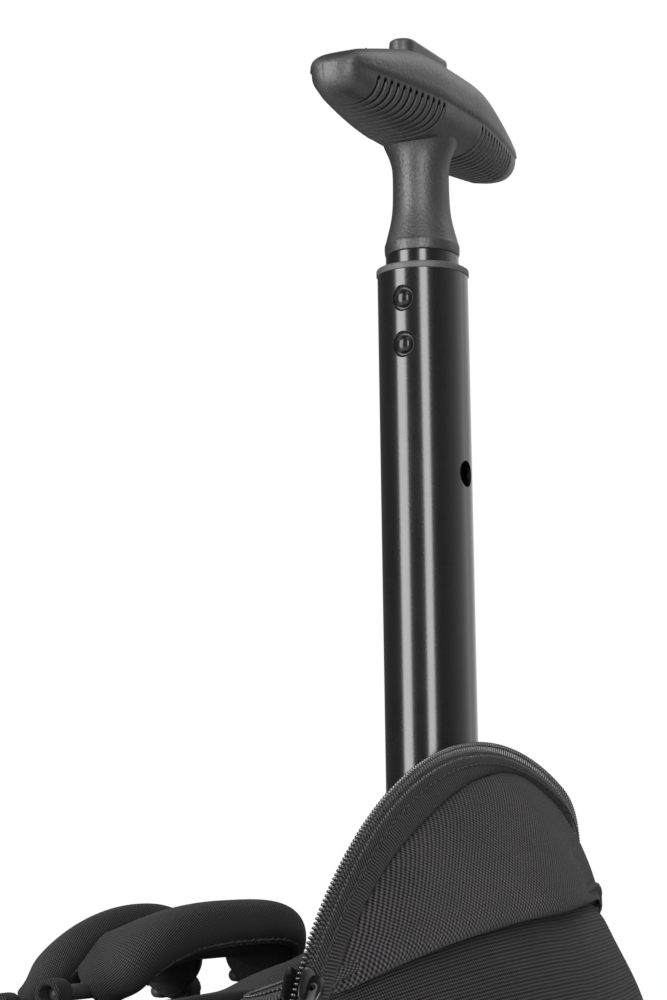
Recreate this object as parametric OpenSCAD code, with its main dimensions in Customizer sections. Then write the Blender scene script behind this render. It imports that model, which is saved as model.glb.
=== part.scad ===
// Rolling laptop case with a single telescopic pole.
// Millimetres, +Z up, the front of the case faces -Y and the pole stands at the back.
// The origin is on the floor, in the middle of the case's width and depth.

/* [Case] */
// Outer width of the fabric case
case_w = 330; // [316:2:350]
// Height of the main compartment's top at its back edge
top_back_z = 390; // [380:1:392]
// Height of the main compartment's top at its front edge
top_front_z = 364; // [350:1:372]
// Depth of the main compartment from back to front
main_depth = 130; // [124:1:160]
// Thickness of the padded fabric walls
wall = 6; // [4:0.5:8]
// Radius of the main compartment's upper corners
corner_r = 42; // [30:1:52]
// Thickness of the padded front lid
lid_t = 13; // [10:0.5:18]
// Fullness of the front pocket at its lower edge
pocket_t = 10; // [9:0.5:16]
// Width of the front pocket
pocket_w = 270; // [230:2:280]
// Height of the front pocket
pocket_h = 170; // [140:2:200]
// Width of each half of the lid's zip
zip_w = 3; // [2.5:0.1:4]
// Thickness of the lid's zip
zip_t = 2.4; // [2:0.1:3]
// Clearance between sewn pieces that move apart
seam_gap = 0.4; // [0.3:0.05:0.6]

/* [Laptop sleeve] */
// Room for the laptop between the divider and the back wall
laptop_room = 36; // [30:1:42]
// Thickness of the padded divider
divider_t = 8; // [6:0.5:10]
// Height of the divider
divider_h = 225; // [200:5:240]
// Width of the strap that holds the laptop
strap_w = 40; // [30:1:50]

/* [Pole compartment] */
// Room from the main compartment's back to the pole's axis
pole_gap = 24; // [23.5:0.5:30]
// Reach from the pole's axis to the rearmost point
rear_reach = 78; // [76:0.5:84]
// Distance of the arched zip behind the pole's axis
rim_reach = 20; // [19.5:0.5:23]
// Height of the arched zip's crown
arch_top_z = 466; // [462:1:472]
// Fullness of the rear panel behind the zip
bulge = 52; // [42:1:54]
// Inset over which the rear panel swells to its fullness
swell = 140; // [120:2:150]
// Height of the ends of the seam under the padded crescent
seam_z = 390; // [384:1:396]
// Rise of that seam in its middle
seam_rise = 19; // [10:1:22]
// Thickness of the padded crescent
pad_t = 8; // [6:0.5:10]
// Thickness of the fabric rear panel
panel_t = 5; // [4:0.5:7]
// Width of the twill tape that carries the arched zip
tape_w = 13; // [10:0.5:16]
// Thickness of the twill tape
tape_t = 1.6; // [1.2:0.1:2]
// Width of the zip coil beyond the tape
coil_w = 3.4; // [2.5:0.1:4.5]
// Half angle of the arch that the zip covers
zip_angle = 74; // [66:1:80]
// Angle from the crown at which the arched zip's right slider is parked
park_angle = 57; // [52:1:60]
// Angle from the crown at which its left slider is parked
park_angle_left = 66; // [60:1:67]
// Width of the folded hood
hood_w = 150; // [120:5:180]
// Thickness of the folded hood
hood_t = 11; // [9:0.5:14]

/* [Pole] */
// Radius of the middle tube's rounded sides
mid_r = 16; // [15.5:0.1:16.4]
// Half width of the tube's flats, which keep it from turning
tube_flat = 1.5; // [1:0.1:2.5]
// Wall of the tubes
tube_wall = 1.3; // [1:0.1:1.5]
// Radius of the inner tube's rounded sides
inner_r = 12.8; // [12.4:0.1:13.1]
// Running clearance between a tube and its bushing
slide_gap = 0.2; // [0.1:0.05:0.3]
// Wall of the base tube's bushing
bush_wall = 1.6; // [1.4:0.1:2]
// Height of the collar's top face as photographed
collar_z = 643; // [639:1:646]
// Thickness of the bushings' flanges
flange_t = 2.5; // [2:0.1:3]
// Length of the middle tube
mid_len = 328; // [322:1:330]
// Length of the middle tube that stays in the base tube
mid_overlap = 65.5; // [60:0.5:70]
// Length of the bushings inside the tubes
bush_len = 30; // [26:1:32]
// Radius of the snap nubs on the collar
nub_r = 3.3; // [2.8:0.1:3.6]
// Depth of the upper snap nub below the tube's end
nub_drop = 11; // [9:0.5:14]
// Distance between the two snap nubs
nub_pitch = 17; // [14:0.5:19]
// Depth of the lock hole below the collar's top face
lock_drop = 77; // [70:1:84]

/* [Lock] */
// Radius of the lock bolts
bolt_r = 4.5; // [4:0.1:4.8]
// Travel of the release button and of the bolts
press = 3.5; // [3:0.1:3.8]
// Thickness of the cam blade at the foot of the push rod
blade_t = 3; // [2.5:0.1:3.4]
// Radius of the bolts' cross pins
pin_r = 1.2; // [1:0.05:1.3]
// Clearance in the lock
lock_gap = 0.3; // [0.2:0.05:0.35]
// Radius of the push rod
rod_r = 2.2; // [1.8:0.1:2.4]
// Height of the lock plugs
plug_h = 40; // [36:1:42]

/* [Grip] */
// Length of the T-grip
grip_len = 143; // [136:1:146]
// Height of the T-grip at its middle
grip_h = 30.8; // [30:0.1:34]
// Width of the T-grip at its middle
grip_w = 37.4; // [34:0.1:37.6]
// Width of the T-grip near its ends
grip_end_w = 22.6; // [18:0.2:26]
// Fall of the crest towards the ends
crest_fall = 11; // [6:0.5:12]
// Height of the stem between the pole and the grip
stem_h = 40.8; // [38:0.1:42]
// Radius of the stem at its waist
stem_r = 10.2; // [9.4:0.1:10.8]
// Length of inner tube that shows under the stem
stem_gap = 5; // [3:0.5:8]
// Number of ribs on each side of the stem
rib_count = 12; // [8:1:14]
// Depth of the grooves between the ribs
rib_depth = 1.3; // [0.8:0.1:1.6]
// Length of the release button
button_l = 36; // [30:1:40]
// Width of the release button
button_w = 14; // [12:0.5:16]
// Height of the release button above the crest
button_up = 7.4; // [5:0.1:8]

/* [Carry handles] */
// Half span of the rear handle
handle_span = 60; // [58:1:66]
// Half span of the front handle, which folds through the rear one
handle_span_front = 46; // [42:1:47]
// Rise of the handles from their pivots
handle_rise = 39; // [37:1:44]
// Thickness of the padded handles
handle_t = 19; // [16:0.5:20]
// Lean of the handles above level at rest
handle_lean = 35; // [30:1:38]
// Distance from the main compartment's front edge to the front handle's pivot
handle_front = 12; // [10:1:16]
// Distance between the two handles' pivots
handle_pitch = 31; // [29:1:33]
// Height of the pivots above the top panel
pivot_up = 11.5; // [11:0.5:13]
// Radius of the pivot pins
pivot_r = 3; // [2.5:0.1:3.5]

/* [Running gear] */
// Radius of the wheels
wheel_r = 36; // [32:1:38]
// Width of the wheels
wheel_w = 22; // [18:1:24]
// Radius of the wheel hubs
hub_r = 26; // [22:1:28]
// Radius of the axles
axle_r = 3; // [2.5:0.1:4]
// Outer radius of the wheel bearings
bearing_r = 8; // [7:0.1:9]
// Wall of the wheel housings
cheek_t = 9; // [7:0.5:11]
// Clearance round the wheels
wheel_gap = 2; // [1.5:0.1:3]
// Height of the tray's underside above the floor
floor_gap = 20; // [16:1:24]
// Thickness of the tray's floor
tray_t = 4; // [3:0.5:5]
// Height of the tray's rim above its floor
tray_h = 36; // [30:1:40]
// Radius of the front feet
foot_r = 13; // [10:0.5:16]

/* [Hidden] */
$fn = 48;
eps = 0.01;

// Depth chain from the pocket's face to the wheels
depth = pocket_t + lid_t + 2 * zip_w + seam_gap + main_depth + pole_gap + rear_reach;
front_y = -depth / 2;
lid_y = front_y + pocket_t;
lid_back_y = lid_y + lid_t;
shell_y = lid_back_y + 2 * zip_w + seam_gap;
back_y = shell_y + main_depth;
pole_y = back_y + pole_gap;
rim_y = pole_y + rim_reach;
rear_y = pole_y + rear_reach;

// Heights of the case
half_w = case_w / 2;
body_z = floor_gap + tray_t;
tray_top = body_z + tray_h;
lid_z = tray_top + 2;
slope = (top_back_z - top_front_z) / main_depth;
slope_deg = atan(slope);
function top_z(y) = top_back_z - (back_y - y) * slope;
arch_z = arch_top_z - half_w;
pad_r = half_w - tape_w;
low_r = 24;

// Heights of the pole
mid_top = collar_z - flange_t;
mid_bottom = mid_top - mid_len;
base_top_z = mid_bottom + mid_overlap;
mid_in = mid_r - tube_wall;
base_in = mid_r + slide_gap + bush_wall;
base_r = base_in + tube_wall;
board_t = 2.5;
sole_gap = pole_gap - base_r - board_t;
stem_z = collar_z + stem_gap;
inner_in = inner_r - tube_wall;
inner_bottom = mid_bottom + plug_h + 4;
inner_bolt_z = inner_bottom + 14;
mid_bolt_z = mid_bottom + 20;
lock_z = collar_z - lock_drop;
mid_stop = 6;
gusset_t = 4;
socket_z = body_z + gusset_t;
base_bottom = socket_z + 3;
fit = 0.05;

// Heights of the grip
grip_low = stem_z + stem_h;
grip_top = grip_low + grip_h;
part_z = grip_low + 0.41 * grip_h;
pocket_floor = grip_low + 10;
button_low = pocket_floor + 9;
button_top = grip_top + button_up;
half_l = grip_len / 2;

// Colours
black = "#1d1d1f";
charcoal = "#2c2c2e";
fabric = "#303033";
grey = "#4a4a4c";
steel = "#9a9c9f";

// Helpers

// Flat-oval outline of the tubes
module oval(r) {
  for (s = [-1, 1]) translate([s * tube_flat, 0]) circle(r);
  square([2 * tube_flat, 2 * r], center = true);
}

// Flat-oval tube on the pole's axis
module oval_tube(r, r_in, z0, h) {
  translate([0, pole_y, z0]) linear_extrude(h) difference() {
    oval(r);
    oval(r_in);
  }
}

// Rod along Y through the pole's axis at height z, from y0 to y1
module rod_y(r, z, y0, y1) {
  translate([0, pole_y + y0, z]) rotate([-90, 0, 0]) cylinder(r = r, h = y1 - y0);
}

// Rod along X
module rod_x(r, l) {
  rotate([0, 90, 0]) cylinder(r = r, h = l, center = true);
}

// Stadium outline along X
module slot2d(l, w) {
  for (s = [-1, 1]) translate([s * (l - w) / 2, 0]) circle(w / 2);
  square([l - w, w], center = true);
}

// Rounded plate that stands across Y: width, height, upper and lower corner radius, thickness
module plate(w, z0, z1, ru, rl, t) {
  for (s = [-1, 1]) {
    translate([s * (w / 2 - ru), 0, z1 - ru]) rotate([-90, 0, 0]) cylinder(r = ru, h = t, $fn = 32);
    translate([s * (w / 2 - rl), 0, z0 + rl]) rotate([-90, 0, 0]) cylinder(r = rl, h = t, $fn = 24);
  }
}

// Closed loft through rings that all have the same number of points
module loft(rings) {
  n = len(rings[0]);
  m = len(rings);
  sides = [for (i = [0:m - 2]) for (j = [0:n - 1]) each [
    [i * n + j, i * n + (j + 1) % n, (i + 1) * n + (j + 1) % n],
    [i * n + j, (i + 1) * n + (j + 1) % n, (i + 1) * n + j]
  ]];
  caps = [[for (j = [n - 1:-1:0]) j], [for (j = [0:n - 1]) (m - 1) * n + j]];
  polyhedron([for (r = rings) each r], concat(sides, caps));
}

// Closed sheet between an outer and an inner grid of points
module sheet(outer, inner) {
  m = len(outer);
  n = len(outer[0]);
  k = m * n;
  faces = concat(
    [for (i = [0:m - 2]) for (j = [0:n - 2]) each [
      [i * n + j, i * n + j + 1, (i + 1) * n + j + 1],
      [i * n + j, (i + 1) * n + j + 1, (i + 1) * n + j],
      [k + i * n + j, k + (i + 1) * n + j + 1, k + i * n + j + 1],
      [k + i * n + j, k + (i + 1) * n + j, k + (i + 1) * n + j + 1]
    ]],
    [for (j = [0:n - 2]) each [
      [j, k + j + 1, j + 1], [j, k + j, k + j + 1],
      [(m - 1) * n + j, (m - 1) * n + j + 1, k + (m - 1) * n + j + 1],
      [(m - 1) * n + j, k + (m - 1) * n + j + 1, k + (m - 1) * n + j]
    ]],
    [for (i = [0:m - 2]) each [
      [i * n, (i + 1) * n, k + (i + 1) * n], [i * n, k + (i + 1) * n, k + i * n],
      [i * n + n - 1, k + (i + 1) * n + n - 1, (i + 1) * n + n - 1],
      [i * n + n - 1, k + i * n + n - 1, k + (i + 1) * n + n - 1]
    ]]);
  polyhedron(concat([for (r = outer) each r], [for (r = inner) each r]), faces);
}

// Coil spring along Z
module spring(r, wire, h, turns) {
  steps = turns * 10;
  rings = [for (i = [0:steps]) let (a = 360 * i / 10, z = wire + (h - 2 * wire) * i / steps)
    [for (j = [0:5]) let (b = 60 * j)
      [(r + wire * cos(b)) * cos(a), (r + wire * cos(b)) * sin(a), z + wire * sin(b)]]];
  loft(rings);
}

// Case: shells, lid and pockets

// Solid of the main compartment, drawn in by d on every side but the front
module main_solid(d) {
  hull() {
    translate([0, back_y - d - 1, 0])
      plate(case_w - 2 * d, body_z + d, top_back_z - d - slope, corner_r - d, low_r - d, 1);
    translate([0, shell_y, 0])
      plate(case_w - 2 * d, body_z + d, top_front_z - d, corner_r - d, low_r - d, 1);
  }
}

module main_shell() {
  color(fabric) difference() {
    main_solid(0);
    intersection() {
      main_solid(wall);
      translate([-half_w, shell_y + wall, 0]) cube([case_w, main_depth, arch_top_z]);
    }
    hull() translate([0, shell_y - 1, 0])
      plate(case_w - 2 * wall, lid_z + wall, top_front_z - wall, corner_r - wall, low_r - wall, wall + 2);
  }
}

module lid() {
  color(fabric) hull() {
    translate([0, lid_back_y - 3, 0]) plate(case_w, lid_z, top_front_z, corner_r, 8, 3);
    translate([0, lid_y, 0]) plate(case_w - 24, lid_z + 8, top_front_z - 12, corner_r - 12, 8, 1);
  }
}

module front_pocket() {
  z0 = lid_z + 22;
  color(fabric) hull() {
    translate([0, lid_y - 2, 0]) plate(pocket_w, z0, z0 + pocket_h, 14, 20, 2);
    translate([0, front_y, 0]) plate(pocket_w - 30, z0 + 10, z0 + 0.45 * pocket_h, 12, 14, 2);
  }
}

// Band that follows the upper edge and the sides of the lid
module rim_band(y0, w) {
  color(black) translate([0, y0, 0]) difference() {
    hull() plate(case_w, lid_z, top_front_z, corner_r, 8, w);
    translate([0, -1, 0]) hull()
      plate(case_w - 2 * zip_t, lid_z + zip_t, top_front_z - zip_t, corner_r - zip_t, 8, w + 2);
    translate([-half_w - 1, -1, 0]) cube([case_w + 2, w + 2, lid_z + 30]);
  }
}
module lid_zip_tape() rim_band(lid_back_y, zip_w);
module shell_zip_tape() rim_band(lid_back_y + zip_w + seam_gap, zip_w);

pocket_zip_z = lid_z + 22 + pocket_h + 7;
module pocket_zip_tape() {
  color(black) translate([0, lid_y - 2, pocket_zip_z - 5]) translate([-pocket_w / 2 + 10, 0, 0])
    cube([pocket_w - 20, 2, 10]);
}

sleeve_y = back_y - wall - laptop_room;
module laptop_divider() {
  w = case_w - 2 * wall - 1;
  color(grey) hull() for (s = [-1, 1]) {
    translate([s * (w / 2 - low_r), sleeve_y - divider_t, body_z + wall + low_r]) rotate([-90, 0, 0])
      cylinder(r = low_r, h = divider_t, $fn = 32);
    translate([s * (w / 2 - 10), sleeve_y - divider_t, body_z + wall + divider_h - 10]) rotate([-90, 0, 0])
      cylinder(r = 10, h = divider_t, $fn = 32);
  }
}

// Strap from the back wall over the laptop and down the divider's face
module laptop_strap() {
  z1 = body_z + wall + divider_h;
  y1 = sleeve_y - divider_t;
  color(black) translate([-strap_w / 2, 0, 0]) union() {
    translate([0, y1 - 2, z1 - 60]) cube([strap_w, 2, 63]);
    translate([0, y1 - 2, z1 + 1]) cube([strap_w, back_y - wall - y1 + 2, 2]);
    translate([0, back_y - wall - 2, z1 + 1]) cube([strap_w, 2, 30]);
  }
}

// Stiff board between the fabric and the pole
module frame_board() {
  color(black) difference() {
    translate([-half_w + 30, back_y, socket_z + 0.2]) cube([case_w - 60, board_t, top_back_z - socket_z - 30]);
    for (s = [-1, 1]) for (z = [0:4]) translate([s * (half_w - 60), back_y - 1, body_z + 60 + 55 * z])
      rotate([-90, 0, 0]) cylinder(r = 14, h = board_t + 2);
  }
}

// Pole compartment

zip_end_z = arch_z + half_w * cos(zip_angle);
well_x = half_w - 2 * cheek_t - wheel_w - 2 * wheel_gap - 2;
well_z = 2 * wheel_r + wheel_gap + cheek_t + 2;

module wheel_clear() {
  for (s = [-1, 1]) translate([s > 0 ? well_x : -half_w - 60, wheel_y - wheel_r - 12, 0])
    cube([half_w - well_x + 60, 200, well_z]);
}

// Side and floor walls that join the main compartment to the rear panel, turned in at the panel's edge
module rear_gusset() {
  color(fabric) difference() {
    translate([0, back_y + 0.1, 0]) difference() {
      hull() plate(case_w, body_z, zip_end_z, 2, low_r, rim_y - back_y - 0.1);
      translate([0, -1, 0]) hull()
        plate(case_w - 2 * gusset_t, socket_z, zip_end_z + 60, 2, low_r - gusset_t, rim_y - back_y - 1);
      translate([0, rim_y - back_y - 4, 0]) hull()
        plate(2 * pad_r + 0.4, socket_z, zip_end_z + 60, 2, 2, 8);
    }
    wheel_clear();
  }
}

// Half width of the rear panel's outline at height z
function out_w(z) = z > arch_z ? sqrt(max(0, pad_r * pad_r - (z - arch_z) * (z - arch_z))) : pad_r;
// Distance of a point inside that outline
function inset(x, z) = pad_r - (z > arch_z ? norm([x, z - arch_z]) : abs(x));
// Fullness of the panel, which flattens towards the wheels
function full(z) = bulge * (z > 240 ? 1 : 0.46 + 0.54 * sin(90 * (z - body_z) / (240 - body_z)));
function swollen(x, z) = full(z) * sin(90 * min(1, max(0, inset(x, z)) / swell));
function skin(x, z, puff) = [x, rim_y + tape_t + swollen(x, z) + puff, z];
function lining(x, z, t) = [x, rim_y + tape_t + swollen(x, z) - 1.4 - (t - 1.4) * min(1, max(0, inset(x, z)) / 25), z];

// The rear panel between two heights at its edges, with the seam's rise at one end and an extra crown of puff
module rear_skin(z0, z1, m, n, t, puff, rise0, rise1) {
  rows = [for (i = [0:m]) let (g = 1 - pow(1 - i / m, 1.6)) [z0 + (z1 - z0) * g, rise0 + (rise1 - rise0) * g, sin(180 * g)]];
  outer = [for (r = rows) [for (j = [0:n]) let (u = 2 * j / n - 1)
    skin(u * out_w(r[0]), r[0] + r[1] * (1 - u * u), puff * r[2] * (1 - u * u))]];
  inner = [for (r = rows) [for (j = [0:n]) let (u = 2 * j / n - 1)
    lining(u * out_w(r[0]), r[0] + r[1] * (1 - u * u), t)]];
  sheet(outer, inner);
}

module rear_panel() {
  color(fabric) difference() {
    rear_skin(body_z, seam_z - 0.2, 16, 20, panel_t, 0, 0, seam_rise);
    wheel_clear();
  }
}

module rear_crescent_pad() {
  color(charcoal) rear_skin(seam_z + 0.2, arch_z + pad_r - 1.5, 8, 18, pad_t, 3, seam_rise, 0);
}

// Ring sector in the arch's plane: radii, distance behind the pole, thickness, half angle
module arch_band(r0, r1, y0, t, a) {
  translate([0, y0 + t, arch_z]) rotate([90, 0, 0]) rotate([0, 0, 90 - a])
    rotate_extrude(angle = 2 * a) translate([r0, 0]) square([r1 - r0, t]);
}
module rear_zip_tape() {
  color(charcoal) arch_band(pad_r + 0.1, half_w, rim_y, tape_t, zip_angle);
}
module rear_zip_coil() {
  color(black) arch_band(half_w, half_w + coil_w, rim_y - 0.4, tape_t + 0.8, zip_angle);
}

// Hood: the front half of the zipped dome, folded down on the main compartment's top
module hood() {
  color(fabric) translate([0, back_y, top_back_z + 0.2]) rotate([slope_deg, 0, 0])
    hull() for (s = [-1, 1]) {
      translate([s * (hood_w / 2 - 12), -8, 5]) sphere(r = 5, $fn = 24);
      translate([s * (hood_w / 2 - 20), -14, hood_t - 4]) sphere(r = 4, $fn = 24);
      translate([s * (hood_w / 2 - 6), -27, 4]) sphere(r = 4, $fn = 24);
    }
}
// The part of the hood that is still zipped, below the sliders on each side
module hood_sides() {
  color(fabric) for (m = [0, 1]) mirror([m, 0, 0])
    translate([0, rim_y - 3.2, arch_z]) rotate([90, 0, 0]) rotate([0, 0, 90 - zip_angle])
      rotate_extrude(angle = zip_angle - 4 - (m == 0 ? park_angle : park_angle_left)) translate([half_w - 4, 0])
        square([4, rim_y - back_y - 3.4]);
}
module hood_zip_tape() {
  color(black) translate([0, back_y, top_back_z + 0.2]) rotate([slope_deg, 0, 0])
    translate([-hood_w / 2 + 10, -35.2, 0]) cube([hood_w - 20, 4, 2]);
}

// Running gear

wheel_y = rear_y - wheel_r;
wheel_x = half_w - cheek_t - wheel_gap - wheel_w / 2;
house_in = wheel_x - wheel_w / 2 - wheel_gap - cheek_t;

module base_tray() {
  color(black) difference() {
    union() {
      translate([-half_w - 3, shell_y - 2.8, floor_gap])
        cube([case_w + 6, wheel_y - wheel_r - 10.1 - shell_y + 2.8, tray_t + tray_h]);
      translate([-house_in + 0.1, shell_y, floor_gap])
        cube([2 * house_in - 0.2, pole_y + 52 - shell_y, tray_t]);
    }
    translate([0, shell_y - 0.3, 0]) hull() plate(case_w + 0.6, body_z, 2 * top_back_z, low_r, low_r, 400);
    for (x = [-3:3]) translate([x * 45, shell_y + main_depth / 2, floor_gap - 1]) linear_extrude(3)
      rotate(90) slot2d(main_depth - 30, 10);
  }
}

// Moulded housing that covers the wheel's top and front and holds its axle
module wheel_housing() {
  y0 = wheel_y - wheel_r - 10;
  color(black) difference() {
    intersection() {
      translate([house_in, y0, floor_gap]) cube([half_w - house_in, wheel_r + 30, well_z - floor_gap - 1]);
      union() {
        translate([house_in, wheel_y, wheel_r]) rotate([0, 90, 0])
          cylinder(r = well_z - wheel_r - 1, h = half_w - house_in, $fn = 96);
        translate([house_in, y0, floor_gap]) cube([half_w - house_in, wheel_y - y0, well_z - floor_gap - 8]);
      }
    }
    translate([wheel_x, wheel_y, wheel_r]) rod_x(wheel_r + wheel_gap, wheel_w + 2 * wheel_gap, $fn = 96);
    translate([wheel_x - wheel_w / 2 - wheel_gap, wheel_y, -1])
      cube([wheel_w + 2 * wheel_gap, 100, wheel_r + 1]);
    translate([wheel_x, wheel_y, wheel_r]) rod_x(axle_r + fit, 200);
  }
}
module wheel_housing_right() wheel_housing();
module wheel_housing_left() mirror([1, 0, 0]) wheel_housing();

// Axle pins with a head on the outer side, which lies in the housing's face
module wheel_axles() {
  l = half_w - house_in;
  color(steel) for (s = [-1, 1]) translate([s * (house_in + l / 2), wheel_y, wheel_r]) union() {
    rod_x(axle_r, l);
    translate([s * (l / 2 + 0.75), 0, 0]) rod_x(axle_r + 2.5, 1.5);
  }
}

module wheel_tyre(s) {
  color(black) translate([s * wheel_x, wheel_y, wheel_r]) rotate([0, 90, 0]) rotate_extrude($fn = 96)
    polygon([[hub_r, -wheel_w / 2 + 1], [wheel_r - 4, -wheel_w / 2], [wheel_r - 1, -wheel_w / 2 + 3],
      [wheel_r, -wheel_w / 4], [wheel_r, wheel_w / 4], [wheel_r - 1, wheel_w / 2 - 3],
      [wheel_r - 4, wheel_w / 2], [hub_r, wheel_w / 2 - 1]]);
}
module wheel_hub(s) {
  web = 5;
  color(charcoal) translate([s * wheel_x, wheel_y, wheel_r]) rotate([0, 90, 0]) difference() {
    rotate_extrude($fn = 96) polygon([
      [bearing_r + fit, -wheel_w / 2], [bearing_r + 3, -wheel_w / 2], [bearing_r + 3.5, -web / 2],
      [hub_r - 4, -web / 2], [hub_r - 3, -wheel_w / 2 + 1], [hub_r - fit, -wheel_w / 2 + 1],
      [hub_r - fit, wheel_w / 2 - 1], [hub_r - 3, wheel_w / 2 - 1], [hub_r - 4, web / 2],
      [bearing_r + 3.5, web / 2], [bearing_r + 3, wheel_w / 2], [bearing_r + fit, wheel_w / 2]]);
    for (a = [0:60:300]) rotate([0, 0, a]) translate([(bearing_r + hub_r) / 2 - 0.3, 0, -web])
      cylinder(r = (hub_r - bearing_r) / 2 - 5, h = 2 * web);
  }
}
module wheel_bearings(s) {
  color(steel) for (e = [-1, 1]) translate([s * wheel_x + e * (wheel_w / 2 - 3), wheel_y, wheel_r])
    difference() {
      rod_x(bearing_r, 6);
      rod_x(axle_r + fit, 8);
    }
}
module wheel_right_tyre() wheel_tyre(1);
module wheel_right_hub() wheel_hub(1);
module wheel_right_bearings() wheel_bearings(1);
module wheel_left_tyre() wheel_tyre(-1);
module wheel_left_hub() wheel_hub(-1);
module wheel_left_bearings() wheel_bearings(-1);

module front_feet() {
  color(black) for (s = [-1, 1]) translate([s * (half_w - 45), shell_y + 22, 0])
    rotate_extrude() polygon([[0, 0], [foot_r - 2, 0], [foot_r, 2], [foot_r + 3, floor_gap], [0, floor_gap]]);
}

// Pole: base tube and what holds it

module base_tube() {
  color(black) difference() {
    oval_tube(base_r, base_in, base_bottom, base_top_z - base_bottom);
    for (z = [mid_bolt_z + mid_stop, mid_bolt_z - stow]) rod_y(bolt_r + lock_gap, z, 0, base_r + 5);
  }
}
module base_tube_bushing() {
  color(charcoal) union() {
    oval_tube(base_in - fit, mid_r + slide_gap, base_top_z - bush_len, bush_len);
    oval_tube(base_r + 0.6, mid_r + slide_gap, base_top_z, flange_t);
  }
}
// Moulded socket on the tray's floor
module base_tube_socket() {
  color(black) translate([0, pole_y, socket_z]) difference() {
    union() {
      linear_extrude(46) oval(base_r + 0.1 + 3.5);
      linear_extrude(4) square([86, 2 * base_r + 2], center = true);
      for (s = [-1, 1]) translate([s * (base_r + 14), 0, 4]) rotate([90, 0, 0])
        linear_extrude(4, center = true) polygon([[-s * 14, 0], [s * 10, 0], [-s * 14, 32]]);
    }
    translate([0, 0, 3]) linear_extrude(60) oval(base_r + 0.1);
    translate([-50, -60 - base_r - sole_gap + 0.1, -1]) cube([100, 60, 80]);
  }
}
// Saddles that clamp the base tube to the board
saddle_z = [140, 330];
module base_tube_saddles() {
  w = 2 * (base_r + tube_flat) + 44;
  side = base_r + tube_flat + 3;
  color(charcoal) for (z = saddle_z) translate([0, pole_y, z - 10]) difference() {
    union() {
      linear_extrude(20) oval(base_r + 3);
      translate([-w / 2, -base_r - sole_gap, 0]) cube([w, base_r + sole_gap - 6, 20]);
    }
    translate([0, 0, -1]) linear_extrude(22) oval(base_r + fit);
    translate([-w, -base_r - sole_gap - 20, -1]) cube([2 * w, 20, 22]);
    for (s = [-1, 1]) translate([s > 0 ? side : -side - 40, -7, -1]) cube([40, 40, 22]);
    for (s = [-1, 1]) translate([s * (w / 2 - 9), -60, 10]) rotate([-90, 0, 0]) cylinder(r = 2.5 + fit, h = 80);
  }
}
module saddle_rivets() {
  w = 2 * (base_r + tube_flat) + 44;
  color(steel) for (z = saddle_z) for (s = [-1, 1]) translate([s * (w / 2 - 9), pole_y - 7, z]) union() {
    rotate([90, 0, 0]) cylinder(r = 2.5, h = base_r + sole_gap - 7);
    rotate([-90, 0, 0]) cylinder(r = 4.5, h = 1.8);
  }
}

// Pole: middle tube

// The collar comes down to the base tube's bushing when the pole is stowed, with the grip below the arch
stow = mid_len - mid_overlap - flange_t - 2;

module mid_tube() {
  color(black) difference() {
    oval_tube(mid_r, mid_in, mid_bottom, mid_len);
    rod_y(bolt_r + lock_gap, lock_z, 0, mid_r + 5);
    rod_y(bolt_r + lock_gap, mid_bolt_z, 0, mid_r + 5);
    for (i = [0, 1]) translate([0, pole_y, mid_top - nub_drop - i * nub_pitch]) rotate([0, 90, 0]) {
      cylinder(r = nub_r + 0.8, h = 40);
      translate([0, 0, mid_r + tube_flat - 0.8]) cylinder(r1 = nub_r + 0.8, r2 = nub_r + 1.8, h = 1);
    }
  }
}
// Collar with its bushing and the two snap nubs that hold it in the tube
module mid_tube_collar() {
  sleeve = nub_drop + nub_pitch + nub_r + 16;
  color(grey) difference() {
    union() {
      oval_tube(mid_in - fit, inner_r + slide_gap, mid_top - sleeve, sleeve);
      oval_tube(mid_r + 0.4, inner_r + slide_gap, mid_top, flange_t);
      for (i = [0, 1]) translate([0, pole_y, mid_top - nub_drop - i * nub_pitch]) rotate([0, 90, 0]) {
        translate([0, 0, inner_r]) cylinder(r = nub_r, h = mid_r + tube_flat - inner_r - 0.9);
        translate([0, 0, mid_r + tube_flat - 0.9]) cylinder(r1 = nub_r, r2 = nub_r - 1.2, h = 0.8);
      }
    }
    translate([0, pole_y, mid_top - sleeve - 1]) linear_extrude(sleeve + 8) oval(inner_r + slide_gap);
  }
}

// Bolt along +Y with a fork round the cam blade and a cross pin
fork = 4 + lock_gap + press;
module lock_bolt(z, tip) {
  translate([0, pole_y, z]) union() {
    difference() {
      translate([0, -6.5, 0]) rotate([-90, 0, 0]) cylinder(r = bolt_r, h = tip + 6.5);
      translate([-blade_t / 2 - lock_gap, -8, -10]) cube([blade_t + 2 * lock_gap, 8 + fork, 20]);
    }
    rod_x(pin_r, 2 * sqrt(bolt_r * bolt_r - pin_r * pin_r) - 0.4);
  }
}
// Plug in the foot of a tube, bored for its bolt and slit for the blade
module lock_plug(r, z0, zb, blade_y0) {
  difference() {
    translate([0, pole_y, z0]) linear_extrude(plug_h) oval(r - fit);
    rod_y(bolt_r + fit, zb, -6.5 - press - 0.4, 40);
    translate([-blade_t / 2 - lock_gap, pole_y + blade_y0 - lock_gap, zb - 8])
      cube([blade_t + 2 * lock_gap, 4 - blade_y0 + 2 * lock_gap, 80]);
  }
}
module mid_lock_plug() {
  color(charcoal) lock_plug(mid_in, mid_bottom, mid_bolt_z, -2);
}
module mid_lock_bolt() {
  color(steel) lock_bolt(mid_bolt_z, base_in - lock_gap);
}
// Spring behind the middle tube's bolt
module mid_bolt_spring() {
  color(steel) translate([0, pole_y - 6.5 - press - 0.3, mid_bolt_z]) rotate([-90, 0, 0])
    spring(2.9, 0.35, press + 0.2, 3);
}

// Pole: inner tube, grip and release

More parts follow.
